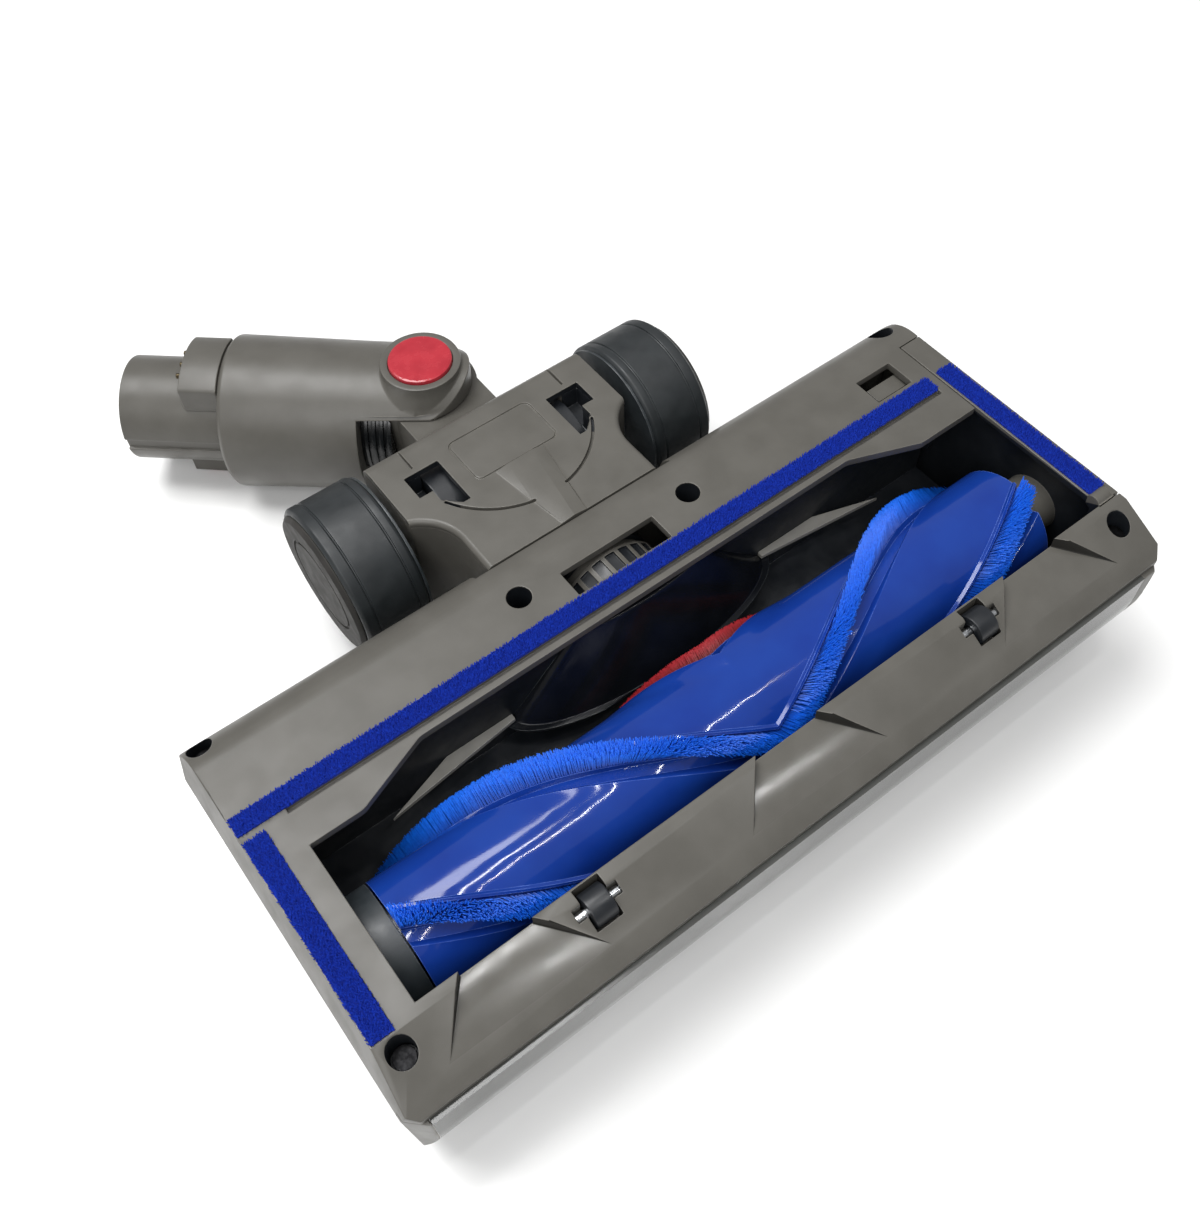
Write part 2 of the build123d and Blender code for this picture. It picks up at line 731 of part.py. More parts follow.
# End cap that slides out to the right and carries the brush bearing
with BuildPart() as end_cap:
    block(cap_x0, head_half, cap_y0, cap_y1, cap_z0, sole_z)
    block(cap_x0, head_half, cap_low_y0, cap_y0, cap_z0, cap_step_z)
    with BuildSketch(Plane.XZ):
        head_end(0)
    extrude(amount=3 * head_half, both=True, mode=Mode.INTERSECT)
    block(cap_x0 - wall, sole_right - cap_side, cap_y0 + cap_skin, cap_y1 - cap_skin, cap_z0 + cap_skin,
          sole_z - cap_skin, Mode.SUBTRACT)
    rod_x(cap_boss_r, cap_boss_x0, sole_right - cap_skin, brush_y, brush_z)
    rod_x(cap_pin_r, bush_x0, cap_boss_x0, brush_y, brush_z)
    rod_x(cap_nub_r, cap_x0, sole_right - cap_skin, cap_y0 + cap_nub_r, sole_z - cap_nub_r / 2)
    block(felt_right_x0 - seat_gap, felt_right_x1 + seat_gap, felt_right_y0 - seat_gap,
          felt_right_y1 + seat_gap,
          sole_z - felt_sunk, sole_z + wall, Mode.SUBTRACT)
    block(latch_x0, sole_right - cap_skin, latch_y0, latch_y1, latch_z0, latch_z1)
    rod_x(lock_r + run_gap, head_half - lock_deep - lock_floor, head_half + wall, lock_y, lock_z,
          Mode.SUBTRACT)
    rod_x(lock_stem_r + run_gap, cap_x0, head_half, lock_y, lock_z, Mode.SUBTRACT)

with BuildPart() as cap_lock:
    rod_x(lock_r, head_half - lock_deep - lock_sunk, head_half - lock_sunk, lock_y, lock_z)
    rod_x(lock_stem_r, cap_x0 + lock_inset, head_half - lock_deep - lock_sunk, lock_y, lock_z)
    block(head_half - lock_sunk - lock_slot_deep, head_half, lock_y - lock_r, lock_y + lock_r,
          lock_z - lock_slot / 2,
          lock_z + lock_slot / 2, Mode.SUBTRACT)


# Wheel carriage: a beam with the roll spigot and two cheeks for the wheels and the knuckle
def carriage_plan():
    with BuildLine() as outline:
        for side in (-1, 1):
            Polyline((0, carriage_y0), (side * beam_half, carriage_y0), (side * beam_half, flare_y0))
            ThreePointArc((side * beam_half, flare_y0),
                          (side * (beam_half + flare_bow_x), flare_y0 + flare_bow_y),
                          (side * cheek_half, flare_y1))
            Polyline((side * cheek_half, flare_y1), (side * cheek_half, carriage_y1), (0, carriage_y1))
    make_face(outline.edges())


def vent_plan(side):
    # Stepped vent beside the badge, cut through the pan and into the cheek below it
    with BuildLine() as outline:
        Polyline((side * vent_x1, vent_y1), (side * vent_x0, vent_y1), (side * vent_x0, vent_y0),
                 (side * (vent_x0 + vent_lead), vent_y0), (side * vent_step_x, vent_y0 + vent_cut),
                 (side * vent_step_x, vent_step_y), (side * vent_x1, vent_step_y), close=True)
    make_face(outline.edges())


with BuildPart() as carriage_shell:
    with BuildSketch(Plane.XY.offset(carriage_low_z)):
        carriage_plan()
    extrude(amount=carriage_top_z - carriage_low_z)
    with BuildSketch(Plane.YZ):
        with BuildLine():
            Polyline((carriage_y0, carriage_top_z), (carriage_y1, carriage_top_z),
                     (carriage_y1, wheel_z + chin_high),
                     (wheel_y + chin_run, carriage_low_z + chin_high), (wheel_y, carriage_low_z),
                     (carriage_y0 + chin_run, carriage_low_z), (carriage_y0, carriage_low_z + chin_high),
                     close=True)
        make_face()
    extrude(amount=cheek_half, both=True, mode=Mode.INTERSECT)
    block(-cheek_in, cheek_in, beam_back_y, carriage_y1 + wall, 0, sole_z, Mode.SUBTRACT)
    rod_y(spigot_r, 0, roll_spigot_y0, carriage_y0, roll_z)
    rod_y(duct_r, 0, roll_spigot_y0 - wall, beam_back_y + wall, roll_z, Mode.SUBTRACT)
    for side in (-1, 1):
        with BuildSketch(Plane.XY.offset(carriage_top_z - vent_deep)):
            vent_plan(side)
        extrude(amount=2 * vent_deep, mode=Mode.SUBTRACT)
        rod_x(trunnion_r + run_gap, *span(side, cheek_in - axle_end_gap, trunnion_out + axle_end_gap),
              wheel_y, wheel_z,
              Mode.SUBTRACT)
        rod_x(axle_r, *span(side, axle_in, cheek_half), wheel_y, wheel_z, Mode.SUBTRACT)

with BuildPart() as roll_collar:
    rod_y(rib_r, 0, roll_spigot_y0, rib_y1, roll_z)
    rod_y(spigot_r, 0, roll_spigot_y0 - wall, rib_y1 + wall, roll_z, Mode.SUBTRACT)
    for step in range(rib_count):
        turn = 360 / rib_count * step
        with Locations(Location((rib_r * sin(radians(turn)), roll_spigot_y0 + rib_rim + rib_gap_long / 2,
                                 roll_z + rib_r * cos(radians(turn))), (0, turn, 0))):
            Box(rib_gap_wide, rib_gap_long, 2 * rib_gap_deep, mode=Mode.SUBTRACT)

with BuildPart() as carriage_pan:
    with BuildSketch(Plane.XY.offset(pan_skirt_z)):
        carriage_plan()
    extrude(amount=pan_top_z - pan_skirt_z)
    fillet(carriage_pan.faces().sort_by(Axis.Z)[-1].edges().sort_by(Axis.Y)[-1:], pan_round)
    flares = carriage_pan.faces().sort_by(Axis.Z)[-1].edges().filter_by_position(Axis.Y, flare_y0, flare_y1)
    fillet(flares, pan_soft)
    block(-head_half, head_half, carriage_y0 - wall, carriage_y1, pan_skirt_z - wall, carriage_top_z,
          Mode.SUBTRACT)
    with BuildSketch(Plane.XY.offset(pan_top_z)):
        with BuildLine():
            Polyline((-spine_front_half, carriage_y0), (spine_front_half, carriage_y0),
                     (spine_back_half, badge_y0),
                     (-spine_back_half, badge_y0), close=True)
        make_face()
    extrude(amount=spine_high)
    chamfer(carriage_pan.faces().sort_by(Axis.Z)[-1].edges().filter_by(Axis.X, reverse=True),
            spine_high - spine_edge,
            spine_front_half - spine_edge)
    for side in (-1, 1):
        with BuildSketch(Plane.XY.offset(carriage_top_z - wall)):
            vent_plan(side)
        extrude(amount=4 * wall, mode=Mode.SUBTRACT)
        low = -90 + side * arc_from
        high = -90 + side * arc_to
        arc_points = [(arc_r * cos(radians(a)), arc_y + arc_r * sin(radians(a)))
                      for a in (low, (low + high) / 2, high)]
        with BuildSketch(Plane.XY.offset(pan_top_z - arc_deep)):
            SlotArc(Edge.make_three_point_arc(*arc_points), arc_wide)
        extrude(amount=2 * wall, mode=Mode.SUBTRACT)
        block(side * seam_x - seam_wide / 2, side * seam_x + seam_wide / 2, seam_y0, carriage_y1 + wall,
              pan_top_z - arc_deep, pan_top_z + wall, Mode.SUBTRACT)
    with BuildSketch(Plane.XY.offset(pan_top_z - badge_groove)):
        with Locations((0, (badge_y0 + badge_y1) / 2)):
            RectangleRounded(2 * badge_half, badge_y1 - badge_y0, badge_round)
            RectangleRounded(2 * badge_half - 2 * badge_groove, badge_y1 - badge_y0 - 2 * badge_groove,
                             badge_round - badge_groove, mode=Mode.SUBTRACT)
    extrude(amount=badge_groove, mode=Mode.SUBTRACT)


# Wheels, the same on both sides
def make_axle(side):
    with BuildPart() as axle:
        rod_x(axle_r, *span(side, axle_in, wheel_out - axle_short), wheel_y, wheel_z)
    return axle


def make_hub(side):
    with BuildPart() as hub:
        rod_x(tyre_bore_r, *span(side, wheel_in, wheel_out - tyre_end), wheel_y, wheel_z)
        rod_x(flange_r, *span(side, wheel_in, wheel_in + flange_thick), wheel_y, wheel_z)
        rod_x(axle_r + run_gap, *span(side, wheel_in - wall, wheel_out - axle_short + axle_end_gap),
              wheel_y, wheel_z, Mode.SUBTRACT)
    return hub


def make_tyre(side):
    near = wheel_in + flange_thick
    far = wheel_out - tyre_end
    with BuildPart() as tyre:
        rod_x(wheel_r, *span(side, near, far), wheel_y, wheel_z)
        chamfer(tyre.edges().filter_by(GeomType.CIRCLE), tyre_edge)
        rod_x(tyre_bore_r, *span(side, near - wall, far + wall), wheel_y, wheel_z, Mode.SUBTRACT)
        for place in (near + tyre_groove_in, far - tyre_groove_out):
            with BuildPart(mode=Mode.PRIVATE) as groove:
                rod_x(wheel_r + wall, *span(side, place, place + groove_wide), wheel_y, wheel_z)
                rod_x(wheel_r - groove_deep, *span(side, place, place + groove_wide), wheel_y, wheel_z,
                      Mode.SUBTRACT)
            add(groove.part, mode=Mode.SUBTRACT)
    return tyre


def make_wheel_cap(side):
    with BuildPart() as wheel_cap:
        rod_x(cap_r, *span(side, wheel_out - tyre_end, wheel_out), wheel_y, wheel_z)
        with BuildPart(mode=Mode.PRIVATE) as groove:
            rod_x(cap_ring_r, *span(side, wheel_out - cap_ring_deep, wheel_out + wall), wheel_y, wheel_z)
            rod_x(cap_ring_r - cap_ring_wide, *span(side, wheel_out - cap_ring_deep, wheel_out + wall),
                  wheel_y, wheel_z,
                  Mode.SUBTRACT)
        chamfer(wheel_cap.edges().filter_by(GeomType.CIRCLE).sort_by(Axis.X)[-1 if side > 0 else 0], cap_edge)
        add(groove.part, mode=Mode.SUBTRACT)
    return wheel_cap


axle_left = make_axle(-1)
axle_right = make_axle(1)
hub_left = make_hub(-1)
hub_right = make_hub(1)
tyre_left = make_tyre(-1)
tyre_right = make_tyre(1)
wheel_cap_left = make_wheel_cap(-1)
wheel_cap_right = make_wheel_cap(1)

# Knuckle: a barrel on the wheel line and an upright eye that the neck swivels on
with BuildPart() as knuckle:
    rod_x(barrel_r, -barrel_half, barrel_half, wheel_y, wheel_z)
    with BuildSketch(Plane.YZ):
        with BuildLine():
            Polyline((wheel_y + link_lead, wheel_z + link_top), (swivel_y - link_slope, eye_z1),
                     (swivel_y, eye_z1),
                     (swivel_y, eye_z0), (swivel_y - link_chin, eye_z0),
                     (wheel_y - link_lead, wheel_z - link_low),
                     close=True)
        make_face()
    extrude(amount=link_half, both=True)
    rod_z(eye_r, 0, swivel_y, eye_z0, eye_z1)
    for side in (-1, 1):
        rod_x(trunnion_r, *span(side, barrel_half - trunnion_root, trunnion_out), wheel_y, wheel_z)
    rod_z(pin_r + run_gap, 0, swivel_y, eye_z1 - pin_deep - fit_gap, eye_z1 + wall, Mode.SUBTRACT)
    rod_z(pin_r + run_gap, 0, swivel_y, eye_z0 - wall, eye_z0 + pin_deep + fit_gap, Mode.SUBTRACT)
    rod_y(air_r, 0, wheel_y - 2 * barrel_r, swivel_y + 2 * eye_r, (wheel_z + neck_z) / 2 - air_drop,
          Mode.SUBTRACT)

# Neck tube along its own axis: local X points up, local Z along the tube
neck_angle = 90 + neck_turn
neck_dir = (cos(radians(neck_angle)), sin(radians(neck_angle)), 0)
neck = Plane(origin=(0, swivel_y, neck_z), x_dir=(0, 0, 1), z_dir=neck_dir)


def tube(r, t0, t1, mode=Mode.ADD):
    with Locations((0, 0, (t0 + t1) / 2)):
        Cylinder(r, t1 - t0, mode=mode)


def post(r, up0, up1, mode=Mode.ADD):
    # Upright cylinder on the swivel axis
    with Locations(Location(((up0 + up1) / 2, 0, 0), (0, 90, 0))):
        Cylinder(r, up1 - up0, mode=mode)


def slab(up0, up1, side0, side1, t0, t1, mode=Mode.ADD):
    with Locations(((up0 + up1) / 2, (side0 + side1) / 2, (t0 + t1) / 2)):
        Box(up1 - up0, side1 - side0, t1 - t0, mode=mode)


def cone_up(foot_r, top_r, up0, up1):
    # Upright cone on the swivel axis
    with Locations(Location(((up0 + up1) / 2, 0, 0), (0, 90, 0))):
        Cone(foot_r, top_r, up1 - up0)


ear_low = eye_z1 - neck_z + ear_gap
boss_top = ear_low + boss_high
disc_seat = boss_top + disc_proud - disc_high
low_boss_end = -ear_low - low_boss_high
low_disc_seat = low_boss_end + low_disc_high
with BuildPart(neck) as neck_sleeve:
    tube(sleeve_r_in, -ear_r, sleeve_t0)
    with BuildSketch(Plane(origin=(0, swivel_y, neck_z - sleeve_r), x_dir=neck_dir, z_dir=(0, 0, 1))):
        Circle(ear_r)
        with Locations((sleeve_t0 / 2, 0)):
            Rectangle(sleeve_t0, 2 * ear_r)
    extrude(amount=2 * sleeve_r, mode=Mode.INTERSECT)
    slab(-ear_low, ear_low, -sleeve_r, sleeve_r, -2 * ear_r, sleeve_t0, Mode.SUBTRACT)
    with Locations((0, 0, (sleeve_t0 + sleeve_t1 - sleeve_edge) / 2)):
        Cone(sleeve_r_in, sleeve_r, sleeve_t1 - sleeve_edge - sleeve_t0)
    with Locations((0, 0, sleeve_t1 - sleeve_edge / 2)):
        Cone(sleeve_r, sleeve_r - sleeve_edge, sleeve_edge)
    cone_up(boss_foot_r, boss_r, ear_low, boss_top - boss_ring)
    post(boss_r, boss_top - boss_ring, boss_top)
    post(boss_r, low_boss_end, -ear_low)
    slab(-housing_r, housing_skin - pipe_r, -housing_half, housing_half, sleeve_t1 - housing_lap, housing_t1)
    tube(pipe_r, sleeve_t0 - wall, pipe_t1, Mode.SUBTRACT)
    slab(-sleeve_r, button_room_z - neck_z, -button_half - button_gap, button_half + button_gap,
         button_t0 - button_gap, button_t1 + button_gap, Mode.SUBTRACT)
    post(pin_r, ear_low - ear_gap, boss_top, Mode.SUBTRACT)
    post(pin_r, low_boss_end, ear_gap - ear_low, Mode.SUBTRACT)
    post(disc_r, disc_seat, boss_top + wall, Mode.SUBTRACT)
    post(disc_r, low_boss_end - wall, low_disc_seat, Mode.SUBTRACT)

with BuildPart(neck) as neck_spigot:
    tube(pipe_r, sleeve_t0 + pipe_inset, pipe_t1)
    tube(pipe_bore_r, pipe_step_t, pipe_t1 + wall, Mode.SUBTRACT)
    tube(pipe_step_r, sleeve_t0 - wall, pipe_step_t, Mode.SUBTRACT)
    for side in (-1, 1):
        slab(-key_wide / 2, key_wide / 2, *span(side, pipe_r - key_deep, pipe_r + wall), key_t0,
             pipe_t1 + wall,
             Mode.SUBTRACT)

with BuildPart(neck) as contact_block:
    tube(block_r, sleeve_t1 + seat_gap, block_t1)
    tube(pipe_r + seat_gap, sleeve_t1 - wall, block_t1 + wall, Mode.SUBTRACT)
    keep = block_r * sin(radians(block_angle))
    slab(0, 2 * block_r, -keep, keep, sleeve_t1, block_t1, Mode.INTERSECT)
    for place in (-contact_pitch, 0, contact_pitch):
        with Locations((contact_high, place, block_t1)):
            Cylinder(contact_r, 4 * contact_out, mode=Mode.SUBTRACT)

with BuildPart(neck) as contact_pins:
    for place in (-contact_pitch, 0, contact_pitch):
        with Locations((contact_high, place, block_t1)):
            Cylinder(contact_r, 2 * contact_out)

with BuildPart(neck) as release_button:
    slab(button_z0 - neck_z, button_z1 - neck_z, -button_half, button_half, button_t0, button_t1)

with BuildPart(neck) as bellows:
    steps = int((sleeve_t0 - bellows_t0) / bellows_pitch)
    for step in range(steps):
        start = bellows_t0 + step * bellows_pitch
        tube(bellows_r, start, start + bellows_pitch / 2)
        tube(bellows_r - bellows_rib, start + bellows_pitch / 2, start + bellows_pitch)
    tube(bellows_bore_r, bellows_t0 - wall, sleeve_t0 + wall, Mode.SUBTRACT)
    slab(eye_z0 - neck_z + fit_gap, eye_z1 - neck_z - fit_gap, -2 * bellows_r, 2 * bellows_r, 0, sleeve_t0,
         Mode.INTERSECT)
    post(eye_r + fit_gap + seat_gap, -sleeve_r, sleeve_r, Mode.SUBTRACT)

with BuildPart(neck) as pivot_pin_top:
    post(pin_r, eye_z1 - pin_deep - neck_z, disc_seat)

with BuildPart(neck) as pivot_pin_bottom:
    post(pin_r, low_disc_seat, eye_z0 + pin_deep - neck_z)

with BuildPart(neck) as pivot_disc_top:
    post(disc_r - seat_gap, disc_seat, boss_top + disc_proud)

with BuildPart(neck) as pivot_disc_bottom:
    post(disc_r - seat_gap, low_boss_end, low_disc_seat)

nodes = {
    "sole_plate": sole_plate, "clear_window": clear_window, "top_cover": top_cover,
    "sole_screws": sole_screws,
    "felt_rear": felt_rear, "felt_left": felt_left, "felt_right": felt_right, "roller_left": roller_left,
    "roller_right": roller_right, "roller_axle_left": roller_axle_left,
    "roller_axle_right": roller_axle_right,
    "brush_tube": brush_tube, "bristles_a": bristles_a, "bristles_b": bristles_b, "bristles_c": bristles_c,
    "drive_hub": drive_hub, "end_bush": end_bush, "motor_can": motor_can, "motor_mount": motor_mount,
    "chamber_liner": chamber_liner, "ledge_left": ledge_left, "ledge_right": ledge_right,
    "duct_dome": duct_dome,
    "roll_seat": roll_seat, "end_cap": end_cap, "cap_lock": cap_lock,
    "carriage_shell": carriage_shell, "roll_collar": roll_collar, "carriage_pan": carriage_pan,
    "axle_left": axle_left, "axle_right": axle_right, "hub_left": hub_left, "hub_right": hub_right,
    "tyre_left": tyre_left, "tyre_right": tyre_right, "wheel_cap_left": wheel_cap_left,
    "wheel_cap_right": wheel_cap_right, "knuckle": knuckle, "neck_sleeve": neck_sleeve,
    "neck_spigot": neck_spigot,
    "contact_block": contact_block, "contact_pins": contact_pins, "release_button": release_button,
    "bellows": bellows, "pivot_pin_top": pivot_pin_top, "pivot_pin_bottom": pivot_pin_bottom,
    "pivot_disc_top": pivot_disc_top, "pivot_disc_bottom": pivot_disc_bottom,
}
for name, node in nodes.items():
    node.part.label = name
    export_step(node.part, f"parts/{name}.step")
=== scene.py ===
import bmesh
import bpy
import json
import math
import random
from mathutils import Matrix, Vector
from mathutils.bvhtree import BVHTree


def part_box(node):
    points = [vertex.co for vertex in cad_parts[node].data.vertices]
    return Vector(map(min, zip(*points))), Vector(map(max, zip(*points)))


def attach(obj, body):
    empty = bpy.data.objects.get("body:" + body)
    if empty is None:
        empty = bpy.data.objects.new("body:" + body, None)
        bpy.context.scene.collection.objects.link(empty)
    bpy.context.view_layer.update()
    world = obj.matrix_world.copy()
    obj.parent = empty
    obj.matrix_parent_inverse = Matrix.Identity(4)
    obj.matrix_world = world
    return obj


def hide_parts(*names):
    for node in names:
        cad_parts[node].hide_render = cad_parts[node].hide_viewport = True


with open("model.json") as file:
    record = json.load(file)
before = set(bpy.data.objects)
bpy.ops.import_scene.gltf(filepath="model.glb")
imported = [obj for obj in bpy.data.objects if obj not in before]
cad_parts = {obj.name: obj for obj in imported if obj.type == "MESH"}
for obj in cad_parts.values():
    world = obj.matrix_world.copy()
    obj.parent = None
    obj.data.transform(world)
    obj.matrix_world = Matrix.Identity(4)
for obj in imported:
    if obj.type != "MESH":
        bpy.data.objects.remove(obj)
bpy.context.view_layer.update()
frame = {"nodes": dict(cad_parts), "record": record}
nodes = frame["nodes"]
nodeBody = {n: b for b, members in frame["record"]["behaviour"]["bodies"].items() for n in members}
random.seed(7)
mm = 0.001
# Front lip and brush axis, in mm
frontY = -62.0
barY, barZ = frontY + 41.5, 36.0
print("frame loaded:", len(nodes), "nodes")

# Shared values of the materials' patterns: noise bunches round a half, so its middle span is spread out,
# and the edge colour (wear on most materials, a painted highlight on the cobalt ridges) starts where the rounded normal
# leaves the flat one
pattern = {"noiseSpan": (0.36, 0.64), "edgeWearAndSheenSpan": (0.985, 0.86), "edgeWearAndSheenPatch": 5.0, "edgeWearAndSheenShare": (0.15, 0.9),
           "bevelSamples": 4, "coatRough": 0.05, "cloudDetail": 4.0, "smearDetail": 5.0, "grainDetail": 2.0}


def linear(hexColour):
    channels = [int(hexColour[i:i + 2], 16) / 255 for i in (1, 3, 5)]
    return [c / 12.92 if c <= 0.04045 else ((c + 0.055) / 1.055) ** 2.4 for c in channels] + [1.0]


def addNode(tree, kind, settings, links=None):
    node = tree.nodes.new(kind)
    for key, value in settings.items():
        if isinstance(key, int) or key in node.inputs:
            node.inputs[key].default_value = value
        else:
            setattr(node, key, value)
    for key, source in (links or {}).items():
        tree.links.new(source, node.inputs[key])
    return node


def pick(sockets, kind, name):
    return [s for s in sockets if s.type == kind and s.name == name][0]


def mixColour(tree, factor, first, second):
    # first and second are a hex colour or a socket
    mix = addNode(tree, "ShaderNodeMix", {"data_type": "RGBA"}, {"Factor": factor})
    for name, value in (("A", first), ("B", second)):
        socket = pick(mix.inputs, "RGBA", name)
        if isinstance(value, str):
            socket.default_value = linear(value)
        else:
            tree.links.new(value, socket)
    return pick(mix.outputs, "RGBA", "Result")


def noiseSpan(tree, vector, size, low, high, detail):
    # Noise with features of size mm, spread from low to high
    noise = addNode(tree, "ShaderNodeTexNoise", {"Scale": 1 / (size * mm), "Detail": detail}, {"Vector": vector})
    least, most = pattern["noiseSpan"]
    return addNode(tree, "ShaderNodeMapRange", {"From Min": least, "From Max": most, "To Min": low, "To Max": high},
                   {"Value": noise.outputs["Fac"]}).outputs["Result"]


def edgeMask(tree, wide):
    # 1 within wide mm of a hard edge, 0 on a flat face
    rounded = addNode(tree, "ShaderNodeBevel", {"samples": pattern["bevelSamples"], "Radius": wide * mm})
    flat = addNode(tree, "ShaderNodeNewGeometry", {})
    facing = addNode(tree, "ShaderNodeVectorMath", {"operation": "DOT_PRODUCT"},
                     {0: rounded.outputs["Normal"], 1: flat.outputs["Normal"]})
    none, full = pattern["edgeWearAndSheenSpan"]
    return addNode(tree, "ShaderNodeMapRange", {"From Min": none, "From Max": full, "To Min": 0.0, "To Max": 1.0},
                   {"Value": facing.outputs["Value"]}).outputs["Result"]


def makeMaterial(name, look):
    # look: colour and rough, and where they apply metal, coat, clear, sheen, specular, tone over cloud mm,
    # roughTo over smear mm, grain mm with depth mm, edgeWearAndSheen colour over edge mm, rootShade up to a radius in
    # mm;
    # the edge colour is wear, and on the cobalt ridges a painted highlight, and rootShade is painted shade at the
    # fibres' roots
    material = bpy.data.materials.new(name)
    material.use_nodes = True
    tree = material.node_tree
    shader = tree.nodes["Principled BSDF"]
    shader.inputs["Base Color"].default_value = linear(look["colour"])
    shader.inputs["Roughness"].default_value = look["rough"]
    shader.inputs["Metallic"].default_value = look.get("metal", 0.0)
    shader.inputs["Coat Weight"].default_value = look.get("coat", 0.0)
    shader.inputs["Coat Roughness"].default_value = pattern["coatRough"]
    shader.inputs["Transmission Weight"].default_value = look.get("clear", 0.0)
    shader.inputs["Sheen Weight"].default_value = look.get("sheen", 0.0)
    shader.inputs["Specular IOR Level"].default_value = look.get("specular", 0.5)
    place = addNode(tree, "ShaderNodeTexCoord", {}).outputs["Object"]
    colour = None
    if "tone" in look:
        cloud = noiseSpan(tree, place, look["cloud"], 0.0, 1.0, pattern["cloudDetail"])
        colour = mixColour(tree, cloud, look["colour"], look["tone"])
    # Painted shade: the colour darkens toward the fibres' roots, near the brush axis
    if "rootShade" in look:
        depth = addNode(tree, "ShaderNodeVectorMath", {"operation": "SUBTRACT", 1: look["axis"]}, {0: place})
        across = addNode(tree, "ShaderNodeVectorMath", {"operation": "MULTIPLY", 1: look["across"]},
                         {0: depth.outputs["Vector"]})
        radius = addNode(tree, "ShaderNodeVectorMath", {"operation": "LENGTH"}, {0: across.outputs["Vector"]})
        root, bright = look["rootShadeSpan"]
        rise = addNode(tree, "ShaderNodeMapRange", {"From Min": root * mm, "From Max": bright * mm},
                       {"Value": radius.outputs["Value"]})
        colour = mixColour(tree, rise.outputs["Result"], look["rootShade"], colour or look["colour"])
    # Edge colour: wear on most materials, a painted highlight on the cobalt ridges
    if "edgeWearAndSheen" in look:
        patch = noiseSpan(tree, place, pattern["edgeWearAndSheenPatch"], *pattern["edgeWearAndSheenShare"], pattern["grainDetail"])
        edgeTinted = addNode(tree, "ShaderNodeMath", {"operation": "MULTIPLY"}, {0: patch, 1: edgeMask(tree, look["edge"])})
        colour = mixColour(tree, edgeTinted.outputs["Value"], colour or look["colour"], look["edgeWearAndSheen"])
    if colour:
        tree.links.new(colour, shader.inputs["Base Color"])
    if "smear" in look:
        smear = noiseSpan(tree, place, look["smear"], look["rough"], look["roughTo"], pattern["smearDetail"])
        tree.links.new(smear, shader.inputs["Roughness"])
    if "grain" in look:
        grain = addNode(tree, "ShaderNodeTexNoise", {"Scale": 1 / (look["grain"] * mm),
                                                     "Detail": pattern["grainDetail"]}, {"Vector": place})
        bump = addNode(tree, "ShaderNodeBump", {"Strength": 1.0, "Distance": look["depth"] * mm},
                       {"Height": grain.outputs["Fac"]})
        tree.links.new(bump.outputs["Normal"], shader.inputs["Normal"])
    return material


